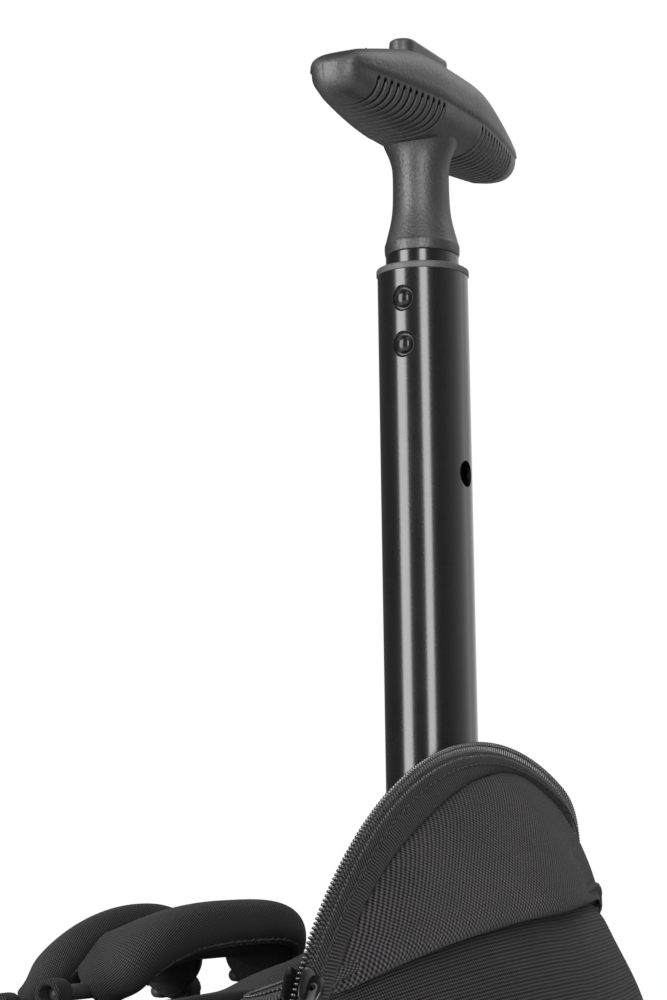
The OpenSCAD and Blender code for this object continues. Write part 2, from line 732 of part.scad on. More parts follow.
module inner_tube() {
  color(black) difference() {
    oval_tube(inner_r, inner_in, inner_bottom, stem_z - inner_bottom);
    rod_y(bolt_r + lock_gap, inner_bolt_z, 0, inner_r + 5);
  }
}
module inner_lock_plug() {
  color(charcoal) difference() {
    lock_plug(inner_in, inner_bottom, inner_bolt_z, -7);
    translate([-blade_t / 2 - lock_gap, pole_y - 2 - lock_gap, inner_bottom - 1])
      cube([blade_t + 2 * lock_gap, 6 + 2 * lock_gap, 20]);
    translate([-blade_t / 2 - lock_gap, pole_y - 7 - lock_gap, inner_bolt_z - 14 + eps])
      cube([blade_t + 2 * lock_gap, 11 + 2 * lock_gap, 60]);
  }
}
module inner_lock_bolt() {
  color(steel) lock_bolt(inner_bolt_z, mid_in - lock_gap);
}

// Push rod with a cam blade: a slanted slot draws the inner bolt, the slanted tip pushes the lower one
module push_rod() {
  slot = pin_r + lock_gap;
  z0 = inner_bolt_z - 8;
  z1 = inner_bottom + plug_h + 12;
  tip = mid_bolt_z + (pin_r + lock_gap) * sqrt(2);
  color(steel) union() {
    translate([0, pole_y, z1 - 2]) cylinder(r = rod_r, h = button_low - z1 + 2);
    translate([-blade_t / 2, pole_y, 0]) rotate([90, 0, 90]) linear_extrude(blade_t) difference() {
      union() {
        translate([-7, z0]) square([11, z1 - z0]);
        polygon([[-2, z0 + 1], [4, z0 + 1], [4, tip - 4], [-2, tip + 2]]);
      }
      translate([0, inner_bolt_z]) circle(slot);
      translate([-press - 0.2, inner_bolt_z + press + 0.2]) circle(slot);
      translate([0, inner_bolt_z]) rotate([0, 0, 135]) translate([0, -slot])
        square([(press + 0.2) * sqrt(2), 2 * slot]);
    }
  }
}

// T-grip: half sections along X, ribbed underneath

rib_from = 22;
rib_to = half_l - 6;
rib_pitch = (rib_to - rib_from) / rib_count;
end_from = half_l - 11;

function belly(a) = a < 14 ? 1 : max(0, 1 - pow((a - 14) / (half_l - 10 - 14), 1.4));
function round_end(a) = a < end_from ? 1 : sqrt(max(0.1, 1 - pow((a - end_from) / (half_l - end_from), 2)));
function grip_half(a) = (grip_end_w / 2 + (grip_w - grip_end_w) / 2 * belly(a)) * round_end(a);
function crest(a) = part_z + (grip_top - crest_fall * pow(a / half_l, 2) - part_z) * round_end(a);
function keel(a) = part_z - (part_z - grip_low - 3 * pow(a / half_l, 2)) * round_end(a);

// Half section at a distance from the middle: from the crest over the side to the keel
function grip_ring(x, groove) = let (a = abs(x), w = grip_half(a), zt = crest(a), zk = keel(a)) concat(
  [for (i = [0:6]) let (t = 90 * i / 6) [x, w * pow(sin(t), 0.65), part_z + (zt - part_z) * pow(cos(t), 0.65)]],
  [for (i = [0:6]) let (t = 90 * i / 6) [x, max(0, (w - 0.5 - groove) * pow(cos(t), 0.75)),
    part_z - 0.3 - (part_z - 0.3 - zk - groove) * pow(sin(t), 0.9)]]);

grip_side = concat(
  [[0, 0], [8, 0], [rib_from - 1, 0]],
  [for (i = [0:rib_count - 1]) let (x = rib_from + i * rib_pitch) each
    [[x, 0], [x + 0.3 * rib_pitch, rib_depth], [x + 0.6 * rib_pitch, rib_depth], [x + 0.85 * rib_pitch, 0]]],
  [[rib_to, 0], [half_l - 4, 0], [half_l - 2, 0], [half_l - 0.8, 0], [half_l, 0]]);
grip_stations = concat([for (i = [len(grip_side) - 1:-1:1]) [-grip_side[i][0], grip_side[i][1]]], grip_side);

// Radius of the stem at a share of its height: flared foot, waist and a fillet under the grip
stem_line = [[0, 2.9], [0.08, 3.1], [0.16, 2.7], [0.26, 1.4], [0.36, 0.4], [0.48, 0], [0.84, 0.1], [0.91, 0.7],
  [0.97, 2], [1.02, 4], [1.07, 6]];

module grip_half_body() {
  loft([for (s = grip_stations) [for (p = grip_ring(s[0], s[1])) [p[0], p[1] + pole_y, p[2]]]]);
  intersection() {
    union() {
      for (i = [0:len(stem_line) - 2]) hull() for (k = [i, i + 1]) for (s = [-1, 1])
        translate([s * tube_flat * (1 - stem_line[k][0]), pole_y, stem_z + stem_h * stem_line[k][0]])
          cylinder(r = stem_r + stem_line[k][1], h = eps, $fn = 28);
      translate([0, pole_y, stem_z - 28]) linear_extrude(29) oval(inner_in - fit, $fn = 32);
    }
    translate([-50, pole_y, stem_z - 40]) cube([100, 50, 120]);
  }
}
// What both halves leave free for the rod, the spring and the button
module grip_cavity() {
  translate([0, pole_y, stem_z - 40]) cylinder(r = rod_r + lock_gap, h = 200, $fn = 24);
  translate([0, pole_y, pocket_floor]) linear_extrude(60) slot2d(button_l + 0.6, button_w + 0.6, $fn = 40);
  for (s = [-1, 1]) translate([s * 26, pole_y, part_z - 3]) rotate([90, 0, 0])
    cylinder(r = 1.6, h = 16, center = true, $fn = 20);
}
module grip_rear_shell() {
  color(black) difference() {
    grip_half_body();
    grip_cavity();
  }
}
module grip_front_shell() {
  color(black) difference() {
    translate([0, 2 * pole_y, 0]) mirror([0, 1, 0]) grip_half_body();
    grip_cavity();
    for (s = [-1, 1]) translate([s * 26, pole_y - 7, part_z - 3]) rotate([90, 0, 0])
      cylinder(r = 3.4, h = 20, $fn = 24);
  }
}
// Screws that join the halves from the front
module grip_screws() {
  color(steel) for (s = [-1, 1]) translate([s * 26, pole_y, part_z - 3]) union() {
    translate([0, 7.5, 0]) rotate([90, 0, 0]) cylinder(r = 1.5, h = 15);
    translate([0, -7.1, 0]) rotate([90, 0, 0]) cylinder(r = 3, h = 2);
  }
}
module release_button() {
  color(charcoal) translate([0, pole_y, button_low]) union() {
    linear_extrude(button_top - button_low - 0.8) slot2d(button_l, button_w);
    linear_extrude(button_top - button_low) slot2d(button_l - 1.2, button_w - 1.2);
  }
}
module button_spring() {
  color(steel) translate([0, pole_y, pocket_floor]) spring(4.6, 0.5, button_low - pocket_floor, 4);
}

// Carry handles

function arc_r(span) = (span * span + handle_rise * handle_rise) / (2 * handle_rise);
function pivot_y(i) = shell_y + handle_front + (1 - i) * handle_pitch;
function pivot_z(i) = top_z(pivot_y(i)) + pivot_up;
pin_len = 13;

// Padded arc that leans back from its pivots, with a pin on the outer side of each foot
module carry_handle(i, span) {
  r = arc_r(span);
  a = 2 * asin(min(1, span / r));
  color(charcoal) translate([0, pivot_y(i), pivot_z(i)]) rotate([handle_lean, 0, 0]) union() {
    translate([0, handle_rise - r, 0]) rotate([0, 0, 90 - a / 2]) rotate_extrude(angle = a, $fn = 96)
      translate([r, 0]) circle(handle_t / 2);
    for (s = [-1, 1]) translate([s * span, 0, 0]) rod_x(handle_t / 2 - 1, 0.6 * handle_t);
    for (s = [-1, 1]) translate([s * (span + pin_len / 2 + handle_t / 2 - 3), 0, 0]) rod_x(pivot_r, pin_len + 3);
  }
}
module carry_handle_rear() carry_handle(0, handle_span);
module carry_handle_front() carry_handle(1, handle_span_front);

// Sewn tabs with a loop for each pin
module handle_anchors() {
  low = pivot_up * cos(slope_deg);
  color(black) for (i = [0, 1]) for (s = [-1, 1])
    translate([s * ((i == 0 ? handle_span : handle_span_front) + handle_t / 2 + 6.4), pivot_y(i), pivot_z(i)])
      rotate([slope_deg, 0, 0]) union() {
        rotate([90, 0, 90]) linear_extrude(9, center = true) difference() {
          union() {
            circle(pivot_r + 2.4);
            translate([-pivot_r - 1.6, 0.6 - low]) square([2 * pivot_r + 3.2, low - 0.6]);
          }
          circle(pivot_r + 0.1);
        }
        translate([s > 0 ? -5.5 : -12.5, -12, 0.05 - low]) cube([18, 24, 2.2]);
      }
}

// Zip sliders and pulls

// Channel that straddles the arched zip, with two lugs and a pin for its pull, at the arch's crown
slider_l = 13;
lug_up = 1.8;
module pull_lugs() {
  for (e = [-1, 1]) translate([0, e * 3, lug_up / 2]) cube([3, 1.4, lug_up + 2], center = true);
  translate([0, 0, lug_up]) rotate([90, 0, 0]) cylinder(r = 1, h = 6, center = true);
}
// Pull whose eye turns on that pin and which lies along +X
module pull_tab() {
  rotate([90, 0, 0]) linear_extrude(3.8, center = true) difference() {
    union() {
      circle(1.65, $fn = 24);
      translate([0, -1.65]) square([7.3, 3.3]);
    }
    circle(1.15, $fn = 24);
  }
  translate([5, 0, -1.3]) linear_extrude(2.6) hull() {
    translate([2, 0]) circle(2.2, $fn = 24);
    translate([24, 0]) circle(3.6, $fn = 24);
  }
}
slider_face = tape_t + 0.4 + 2.2;
module arch_slider() {
  y0 = rim_y - 0.4;
  t = tape_t + 0.8;
  translate([0, 0, half_w]) union() {
    difference() {
      translate([-slider_l / 2, y0 - 2.2, -4.5]) cube([slider_l, t + 4.4, coil_w + 4.5 + 2.6]);
      translate([-slider_l, y0 - 0.5, -10]) cube([2 * slider_l, t + 1, coil_w + 10 + 0.7]);
    }
    translate([0, rim_y + slider_face, 0]) rotate([-90, 0, 0]) pull_lugs();
  }
}
module arch_pull() {
  translate([0, rim_y + slider_face + lug_up, half_w]) rotate([-90, 0, 0]) pull_tab();
}
module at_arch(a) {
  translate([0, 0, arch_z]) rotate([0, a, 0]) children();
}
module rear_zip_slider_right() color(black) at_arch(park_angle) arch_slider();
module rear_zip_pull_right() color(black) at_arch(park_angle) arch_pull();
module rear_zip_slider_left() color(black) mirror([1, 0, 0]) at_arch(park_angle_left) arch_slider();
module rear_zip_pull_left() color(black) mirror([1, 0, 0]) at_arch(park_angle_left) arch_pull();

// Lid's zip: slider on the straight stretch of the upper edge, pull lying along it
main_zip_x = half_w - corner_r - 24;
main_zip_z = top_front_z + 0.3;
main_zip_y = lid_back_y + zip_w + seam_gap / 2;
module main_zip_slider() {
  color(black) translate([main_zip_x, main_zip_y, main_zip_z]) union() {
    translate([-slider_l / 2, -zip_w - 1, 0]) cube([slider_l, 2 * zip_w + 2, 3.2]);
    translate([0, 0, 3.2]) pull_lugs();
  }
}
module main_zip_pull() {
  color(black) translate([main_zip_x, main_zip_y, main_zip_z + 3.2 + lug_up]) mirror([1, 0, 0]) pull_tab();
}

// Pocket's zip: slider on the lid's face, pull hanging down
pocket_zip_x = pocket_w / 2 - 35;
module pocket_zip_slider() {
  color(black) translate([pocket_zip_x, lid_y - 2.3, pocket_zip_z]) union() {
    translate([-slider_l / 2, -3, -4.5]) cube([slider_l, 3, 9]);
    translate([0, -3, 0]) rotate([90, 0, 0]) rotate([0, 0, -90]) pull_lugs();
  }
}
module pocket_zip_pull() {
  color(black) translate([pocket_zip_x, lid_y - 5.3 - lug_up, pocket_zip_z])
    rotate([90, 0, 0]) rotate([0, 0, -90]) pull_tab();
}

main_shell();
lid();
front_pocket();
lid_zip_tape();
shell_zip_tape();
pocket_zip_tape();
laptop_divider();
laptop_strap();
frame_board();
rear_gusset();
rear_panel();
rear_crescent_pad();
rear_zip_tape();
rear_zip_coil();
hood();
hood_sides();
hood_zip_tape();
base_tray();
wheel_housing_right();
wheel_housing_left();
wheel_axles();
front_feet();
wheel_right_tyre();
wheel_right_hub();
wheel_right_bearings();
wheel_left_tyre();
wheel_left_hub();
wheel_left_bearings();
base_tube();
base_tube_bushing();
base_tube_socket();
base_tube_saddles();
saddle_rivets();
mid_tube();
mid_tube_collar();
mid_lock_plug();
mid_lock_bolt();
mid_bolt_spring();
inner_tube();
inner_lock_plug();
inner_lock_bolt();
grip_rear_shell();
grip_front_shell();
grip_screws();
release_button();
button_spring();
push_rod();
carry_handle_rear();
carry_handle_front();
handle_anchors();
rear_zip_slider_right();
rear_zip_pull_right();
rear_zip_slider_left();
rear_zip_pull_left();
main_zip_slider();
main_zip_pull();
pocket_zip_slider();
pocket_zip_pull();
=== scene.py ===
import math

import bmesh
import bpy
from bpy.props import FloatProperty, FloatVectorProperty, IntProperty, PointerProperty
from mathutils import Matrix, Vector


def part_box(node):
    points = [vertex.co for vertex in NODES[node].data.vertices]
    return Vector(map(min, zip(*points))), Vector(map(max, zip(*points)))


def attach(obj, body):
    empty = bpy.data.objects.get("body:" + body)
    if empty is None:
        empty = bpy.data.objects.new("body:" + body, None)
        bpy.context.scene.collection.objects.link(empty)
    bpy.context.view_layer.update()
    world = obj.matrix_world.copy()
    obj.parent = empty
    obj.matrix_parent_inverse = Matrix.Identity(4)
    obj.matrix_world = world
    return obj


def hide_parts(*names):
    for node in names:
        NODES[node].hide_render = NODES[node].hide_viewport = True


bl_info = {
    "name": "Rolling laptop case",
    "version": (1, 0, 0),
    "blender": (4, 5, 0),
    "location": "3D View > Sidebar > Rolling case",
    "description": "Dresses the packed rolling laptop case with fabric, zips, grip and finishes",
    "category": "Object",
}

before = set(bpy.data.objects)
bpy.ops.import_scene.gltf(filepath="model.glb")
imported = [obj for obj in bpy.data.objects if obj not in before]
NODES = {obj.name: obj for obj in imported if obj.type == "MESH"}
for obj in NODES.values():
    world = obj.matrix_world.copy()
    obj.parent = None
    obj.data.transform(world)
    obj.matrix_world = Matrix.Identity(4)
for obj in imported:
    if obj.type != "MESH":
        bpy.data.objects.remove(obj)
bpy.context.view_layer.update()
MM = 0.001

# Places that the source gives, in millimetres
LID_Y, LID_BACK_Y, SHELL_Y, BACK_Y = -120.7, -107.7, -101.3, 28.7
POLE_Y, RIM_Y = 52.7, 72.7
HALF_W, CORNER_R, BODY_Z, TOP_BACK, TOP_SLOPE = 165.0, 42.0, 24.0, 390.0, 0.2
ARCH_Z, PAD_R, SEAM_Z, SEAM_RISE = 301.0, 152.0, 390.0, 19.0
BULGE, SWELL, ZIP_END = 52.0, 140.0, math.radians(74)
PARK, PARK_LEFT = math.radians(57), math.radians(66)
GRIP_LOW, GRIP_TOP, PART_Z, STEM_Z, HALF_L = 688.8, 719.6, 701.43, 648.0, 71.5
BUTTON_LOW, BUTTON_TOP = 707.8, 727.0
STEM_R, TUBE_FLAT = 10.2, 1.5

# Soft shapes of the scene alone, in millimetres
FOOT_W, HOUSING_LOW, HOUSING_TOP = 116.5, 86, 108  # the panel between the wheel housings
FULL_Z = 240                                       # above this height the panel bulges fully
SEAM_LIFT, SLUMP, SETTLE = 18.0, 14.0, 4.5         # left end of the seam, left side of the flap, top's rear edge
PIVOT_H = 11.5                                     # handle pins over the body's top
TAPE_RUN = 167.0                                   # radius that the tape's inner edge is measured from
SEWN_R = 160.6                                     # stitches beside the arched coil


# ---------------------------------------------------------------- sizes and colours

def length(name, about, metres):
    return FloatProperty(name=name, description=about, default=metres, unit="LENGTH")


def colour(name, about, rgb):
    return FloatVectorProperty(name=name, description=about, subtype="COLOR", default=rgb)


class CaseSizes(bpy.types.PropertyGroup):
    """Sizes of the soft pieces and of their weaves"""
    tooth_pitch: length("Tooth pitch", "Distance between teeth of the arched zip", 0.0018)
    pad_crown: length("Pad crown", "Height of the crescent pad over its seams", 0.0055)
    basket_pitch: length("Basket pitch", "Repeat of the pad's basket weave", 0.0019)
    ripstop_pitch: length("Ripstop pitch", "Repeat of the panel's fine ribs", 0.0013)
    twill_pitch: length("Twill pitch", "Repeat of the twill on tapes and handles", 0.0016)
    piping: length("Piping", "Radius of the piping round the body", 0.0022)
    stitch: length("Stitch", "Length of a sewn stitch", 0.0032)
    rib_count: IntProperty(name="Ribs", description="Finger ribs on each side of the stem", default=12, min=6, max=16)


class CaseColours(bpy.types.PropertyGroup):
    """Base colours of the finishes"""
    # black cloth, set darker still as painted shade, since the hood and the body's top are seen in shade
    body: colour("Body fabric", "Woven body fabric", (0.018, 0.0175, 0.0185))
    panel: colour("Rear panel", "Ripstop fabric of the rear panel", (0.020, 0.019, 0.020))
    pad: colour("Crescent pad", "Basket weave of the pad", (0.030, 0.0285, 0.030))
    tape: colour("Tape", "Twill of the zip tapes", (0.032, 0.031, 0.032))
    handle: colour("Handles", "Twill of the carry handles", (0.021, 0.0205, 0.0215))
    lining: colour("Lining", "Lining of the sleeve", (0.085, 0.085, 0.09))
    grip: colour("Grip", "Grained plastic of the grip", (0.012, 0.0118, 0.0124))
    tube: colour("Tube", "Glossy coat of the tubes", (0.004, 0.004, 0.0045))
    collar: colour("Collar", "Moulded collar", (0.055, 0.055, 0.057))
    mould: colour("Moulded parts", "Tray, housings and hubs", (0.028, 0.028, 0.03))


class StudioSettings(bpy.types.PropertyGroup):
    """Camera and light"""
    place: FloatVectorProperty(name="Camera", description="Camera position", subtype="TRANSLATION",
            default=(0.78323, 0.42802, 0.43323))
    turn: FloatProperty(name="Turn", description="Camera's bearing from the case's side", subtype="ANGLE",
            default=math.radians(27.848))
    pitch: FloatProperty(name="Pitch", description="Camera's upward tilt", subtype="ANGLE",
            default=math.radians(8.194))
    roll: FloatProperty(name="Roll", description="Camera's roll", subtype="ANGLE", default=math.radians(0.798))
    lens: FloatProperty(name="Lens", description="Focal length", default=86.78, unit="CAMERA")
    light: FloatProperty(name="Light", description="Strength of all lamps", default=1.0, min=0.1, max=4)


# ---------------------------------------------------------------- shader groups

VECTOR, NUMBER, COLOUR = "NodeSocketVector", "NodeSocketFloat", "NodeSocketColor"


def new_group(name, ins, outs):
    """Empty shader group: the tree, its incoming sockets and its outgoing sockets"""
    g = bpy.data.node_groups.new(name, "ShaderNodeTree")
    for n, kind, value in ins:
        s = g.interface.new_socket(n, in_out="INPUT", socket_type=kind)
        if value is not None:
            s.default_value = value
    for n, kind in outs:
        g.interface.new_socket(n, in_out="OUTPUT", socket_type=kind)
    return g, g.nodes.new("NodeGroupInput").outputs, g.nodes.new("NodeGroupOutput").inputs


class Tree:
    """Short hand for wiring a node tree"""

    def __init__(self, tree):
        self.t = tree

    def node(self, kind, **values):
        n = self.t.nodes.new(kind)
        for k, v in values.items():
            setattr(n, k, v)
        return n

    def link(self, a, b):
        self.t.links.new(a, b)

    def math(self, op, a, b=None, c=None, clamp=False):
        n = self.node("ShaderNodeMath", operation=op, use_clamp=clamp)
        for i, v in enumerate((a, b, c)):
            if v is None:
                continue
            if isinstance(v, (int, float)):
                n.inputs[i].default_value = v
            else:
                self.link(v, n.inputs[i])
        return n.outputs[0]

    def add(self, a, b, clamp=False):
        return self.math("ADD", a, b, clamp=clamp)

    def sub(self, a, b):
        return self.math("SUBTRACT", a, b)

    def mul(self, a, b, clamp=False):
        return self.math("MULTIPLY", a, b, clamp=clamp)

    def noise(self, vector, scale, detail=2.0, rough=0.5):
        n = self.node("ShaderNodeTexNoise")
        n.inputs["Scale"].default_value = scale
        n.inputs["Detail"].default_value = detail
        n.inputs["Roughness"].default_value = rough
        self.link(vector, n.inputs["Vector"])
        return n.outputs["Fac"]

    def split(self, vector):
        n = self.node("ShaderNodeSeparateXYZ")
        self.link(vector, n.inputs[0])
        return n.outputs

    def mix(self, fac, a, b):
        n = self.node("ShaderNodeMix", data_type="RGBA")
        for v, i in ((fac, 0), (a, 6), (b, 7)):
            if isinstance(v, (int, float, tuple)):
                n.inputs[i].default_value = v
            else:
                self.link(v, n.inputs[i])
        return n.outputs[2]

    def remap(self, v, a, b, c=0.0, d=1.0):
        n = self.node("ShaderNodeMapRange")
        self.link(v, n.inputs[0])
        for i, x in enumerate((a, b, c, d)):
            n.inputs[i + 1].default_value = x
        return n.outputs[0]


def wave(w, v, pitch):
    """Sine of a coordinate over a repeat"""
    return w.math("SINE", w.mul(w.math("DIVIDE", v, pitch), 2 * math.pi))


def basket_group():
    g, i, o = new_group("basket_weave", [("Place", VECTOR, None), ("Pitch", NUMBER, 1.9)],
                        [("Height", NUMBER), ("Thread", NUMBER)])
    w = Tree(g)
    wob = w.noise(i["Place"], 0.35, 2)
    x, y, _ = w.split(i["Place"])
    x = w.add(x, w.mul(w.sub(wob, 0.5), 0.8))
    a, b = wave(w, x, i["Pitch"]), wave(w, y, i["Pitch"])
    egg = w.mul(a, b)
    h = w.remap(egg, -1.0, 0.75)
    fuzz = w.noise(i["Place"], 3.2, 3, 0.7)
    w.link(w.add(w.mul(h, 0.8), w.mul(fuzz, 0.35)), o["Height"])
    w.link(h, o["Thread"])
    return g


def ripstop_group():
    g, i, o = new_group("ripstop_weave", [("Place", VECTOR, None), ("Pitch", NUMBER, 1.3)],
                        [("Height", NUMBER), ("Thread", NUMBER)])
    w = Tree(g)
    x, y, _ = w.split(i["Place"])
    wob = w.mul(w.sub(w.noise(i["Place"], 0.05, 1), 0.5), 0.5)
    y = w.add(y, wob)
    rib = wave(w, y, i["Pitch"])
    cross = wave(w, x, w.mul(i["Pitch"], 0.8))
    bold_y = w.remap(wave(w, y, w.mul(i["Pitch"], 3.0)), 0.6, 0.95)
    bold_x = w.remap(wave(w, x, w.mul(i["Pitch"], 3.0)), 0.8, 1.0)
    fine = w.remap(w.add(rib, w.mul(cross, 0.8)), -1.2, 1.3)
    grid = w.math("MAXIMUM", bold_y, w.mul(bold_x, 0.35))
    slub = w.noise(i["Place"], 1.7, 3, 0.7)
    h = w.sub(w.add(fine, w.mul(slub, 0.5)), w.mul(grid, 0.16))
    w.link(h, o["Height"])
    w.link(w.mul(h, 0.8, clamp=True), o["Thread"])
    return g


def twill_group():
    g, i, o = new_group("twill_weave", [("Place", VECTOR, None), ("Pitch", NUMBER, 1.6), ("Turnback", NUMBER, 0.0)],
                        [("Height", NUMBER), ("Thread", NUMBER)])
    w = Tree(g)
    x, y, _ = w.split(i["Place"])
    fold = w.math("PINGPONG", y, w.math("MAXIMUM", i["Turnback"], 0.001))
    plain = w.math("GREATER_THAN", 0.01, i["Turnback"])
    yy = w.add(w.mul(y, plain), w.mul(fold, w.sub(1.0, plain)))
    wale = wave(w, w.add(x, w.mul(yy, 0.55)), i["Pitch"])
    pick = wave(w, w.sub(yy, w.mul(x, 0.15)), w.mul(i["Pitch"], 0.62))
    h = w.remap(w.add(wale, w.mul(pick, 0.45)), -1.3, 1.3)
    fuzz = w.noise(i["Place"], 2.6, 3, 0.7)
    w.link(w.add(w.mul(h, 0.85), w.mul(fuzz, 0.3)), o["Height"])
    w.link(h, o["Thread"])
    return g


def thread_shade_group():
    g, i, o = new_group("thread_tone_and_shade", [("Colour", COLOUR, None), ("Thread", NUMBER, 0.5), ("Place", VECTOR, None),
            ("Contrast", NUMBER, 1.0), ("Lint", NUMBER, 0.15)],
                        [("Colour", COLOUR), ("Roughness", NUMBER)])
    w = Tree(g)
    broad = w.noise(i["Place"], 0.03, 3)
    fine = w.noise(i["Place"], 2.1, 2, 0.8)
    # painted highlight and shade: the colour is lighter on thread tops and darker in the gaps between threads, times
    # random tone
    level = w.add(0.16, w.mul(w.math("POWER", i["Thread"], 1.8), i["Contrast"]))
    level = w.mul(level, w.remap(broad, 0.3, 0.7, 0.86, 1.16))
    level = w.mul(level, w.remap(fine, 0.25, 0.75, 0.75, 1.3))
    n = w.node("ShaderNodeVectorMath", operation="SCALE")
    w.link(i["Colour"], n.inputs[0])
    w.link(w.math("MAXIMUM", level, 0.06), n.inputs["Scale"])
    fleck = w.mul(w.remap(w.noise(i["Place"], 1.1, 1, 0.5), 0.74, 0.8), i["Lint"])
    w.link(w.mix(fleck, n.outputs[0], (0.16, 0.16, 0.165, 1)), o["Colour"])
    w.link(w.remap(i["Thread"], 0.0, 1.0, 0.95, 0.78), o["Roughness"])
    return g


def grain_group():
    g, i, o = new_group("moulded_grain", [("Place", VECTOR, None), ("Grain", NUMBER, 900.0), ("Colour", COLOUR, None),
            ("Roughness", NUMBER, 0.5), ("Rub", NUMBER, 0.3)],
                        [("Height", NUMBER), ("Colour", COLOUR), ("Roughness", NUMBER)])
    w = Tree(g)
    v = w.node("ShaderNodeTexVoronoi", feature="SMOOTH_F1")
    w.link(i["Place"], v.inputs["Vector"])
    w.link(i["Grain"], v.inputs["Scale"])
    n = w.node("ShaderNodeTexNoise")
    n.inputs["Detail"].default_value = 3
    w.link(i["Place"], n.inputs["Vector"])
    w.link(w.mul(i["Grain"], 0.6), n.inputs["Scale"])
    w.link(w.add(v.outputs["Distance"], w.mul(n.outputs["Fac"], 0.7)), o["Height"])
    broad = w.noise(i["Place"], 38, 4)
    rub = w.mul(w.remap(broad, 0.52, 0.75), i["Rub"])
    s = w.node("ShaderNodeVectorMath", operation="SCALE")
    w.link(i["Colour"], s.inputs[0])
    w.link(w.remap(n.outputs["Fac"], 0.3, 0.7, 0.85, 1.18), s.inputs["Scale"])
    w.link(w.mix(rub, s.outputs[0], (0.12, 0.12, 0.125, 1)), o["Colour"])
    w.link(w.add(i["Roughness"], w.mul(w.sub(broad, 0.5), 0.22), clamp=True), o["Roughness"])
    return g


def dust_group():
    g, i, o = new_group("settled_dust", [("Colour", COLOUR, None), ("Amount", NUMBER, 0.1)], [("Colour", COLOUR)])
    w = Tree(g)
    geo = w.node("ShaderNodeNewGeometry")
    up = w.remap(w.split(geo.outputs["Normal"])[2], 0.55, 1.0)
    spots = w.remap(w.noise(geo.outputs["Position"], 420, 3, 0.7), 0.5, 0.72)
    fac = w.mul(w.mul(up, spots), i["Amount"])
    w.link(w.mix(fac, i["Colour"], (0.22, 0.215, 0.21, 1)), o["Colour"])
    return g


GROUPS = {}


def shared(name):
    makers = {"basket": basket_group, "ripstop": ripstop_group, "twill": twill_group, "tone": thread_shade_group,
            "grain": grain_group, "dust": dust_group}
    if name not in GROUPS:
        GROUPS[name] = makers[name]()
    return GROUPS[name]


MATS = {}


def base_material(name, rough, metallic=0.0, coat=0.0, sheen=0.0, specular=0.5):
    m = bpy.data.materials.new(name)
    m.use_nodes = True
    b = m.node_tree.nodes["Principled BSDF"]
    b.inputs["Roughness"].default_value = rough
    b.inputs["Metallic"].default_value = metallic
    b.inputs["Coat Weight"].default_value = coat
    b.inputs["Coat Roughness"].default_value = 0.17
    b.inputs["Sheen Weight"].default_value = sheen
    b.inputs["Sheen Roughness"].default_value = 0.45
    b.inputs["Specular IOR Level"].default_value = specular
    MATS[name] = m
    return m, b, Tree(m.node_tree)


def put_group(w, name, **inputs):
    n = w.node("ShaderNodeGroup")
    n.node_tree = shared(name)
    for k, v in inputs.items():
        s = n.inputs[k]
        if isinstance(v, bpy.types.NodeSocket):
            w.link(v, s)
        else:
            s.default_value = v
    return n


def fabric(name, colour, weave, pitch, depth, shade_contrast, sheen=0.04, turnback=None, lint=0.12, dust=0.03):
    """Woven cloth: the weave runs in the piece's own millimetre map; its colour is painted lighter on thread tops and
    darker in the gaps, as highlight and shade
    """
    m, b, w = base_material(name, 0.9, sheen=sheen, specular=0.12)
    uv = w.node("ShaderNodeUVMap", uv_map="cloth")
    values = {"Place": uv.outputs[0], "Pitch": pitch}
    if turnback is not None:
        values["Turnback"] = turnback
    cloth = put_group(w, weave, **values)
    tone = put_group(w, "tone", Colour=(*colour, 1), Thread=cloth.outputs["Thread"], Place=uv.outputs[0],
            Contrast=shade_contrast, Lint=lint)
    dusty = put_group(w, "dust", Colour=tone.outputs["Colour"], Amount=dust)
    w.link(dusty.outputs[0], b.inputs["Base Color"])
    w.link(tone.outputs["Roughness"], b.inputs["Roughness"])
    bump = w.node("ShaderNodeBump")
    bump.inputs["Strength"].default_value = 0.75
    bump.inputs["Distance"].default_value = depth * MM
    w.link(cloth.outputs["Height"], bump.inputs["Height"])
    w.link(bump.outputs[0], b.inputs["Normal"])
    return m


def moulded(name, colour, rough, grain, depth, rub=0.15, dust=0.05, painted_groove_shade=False, **more):
    """Moulded plastic, rubber or metal with a fine grain, and painted shade in its grooves where asked"""
    m, b, w = base_material(name, rough, **more)
    place = w.node("ShaderNodeTexCoord").outputs["Object"]
    g = put_group(w, "grain", Place=place, Grain=grain, Colour=(*colour, 1), Roughness=rough, Rub=rub)
    dusty = put_group(w, "dust", Colour=g.outputs["Colour"], Amount=dust)
    shade, dull = dusty.outputs[0], g.outputs["Roughness"]
    if painted_groove_shade:
        # painted shade: the mask colours the grooves near black and takes their shine away
        mask = w.node("ShaderNodeAttribute", attribute_name="painted_groove_shade").outputs["Fac"]
        shade = w.mix(mask, shade, (0.002, 0.002, 0.002, 1))
        dull = w.math("MAXIMUM", dull, mask)
        w.link(w.mul(w.sub(1.0, mask), more.get("specular", 0.5)), b.inputs["Specular IOR Level"])
    w.link(shade, b.inputs["Base Color"])
    w.link(dull, b.inputs["Roughness"])
    bump = w.node("ShaderNodeBump")
    bump.inputs["Strength"].default_value = 0.6
    bump.inputs["Distance"].default_value = depth * MM
    w.link(g.outputs["Height"], bump.inputs["Height"])
    w.link(bump.outputs[0], b.inputs["Normal"])
    return m


def brushed_steel():
    """Steel with fine lines along its height"""
    m, b, w = base_material("brushed_steel", 0.32, metallic=1.0)
    place = w.node("ShaderNodeTexCoord").outputs["Object"]
    st = w.node("ShaderNodeMapping")
    st.inputs["Scale"].default_value = (40, 40, 900)
    w.link(place, st.inputs[0])
    lines = w.noise(st.outputs[0], 1.0, 3)
    w.link(w.mix(lines, (0.45, 0.46, 0.47, 1), (0.62, 0.63, 0.64, 1)), b.inputs["Base Color"])
    w.link(w.remap(lines, 0.2, 0.8, 0.24, 0.42), b.inputs["Roughness"])
    return m


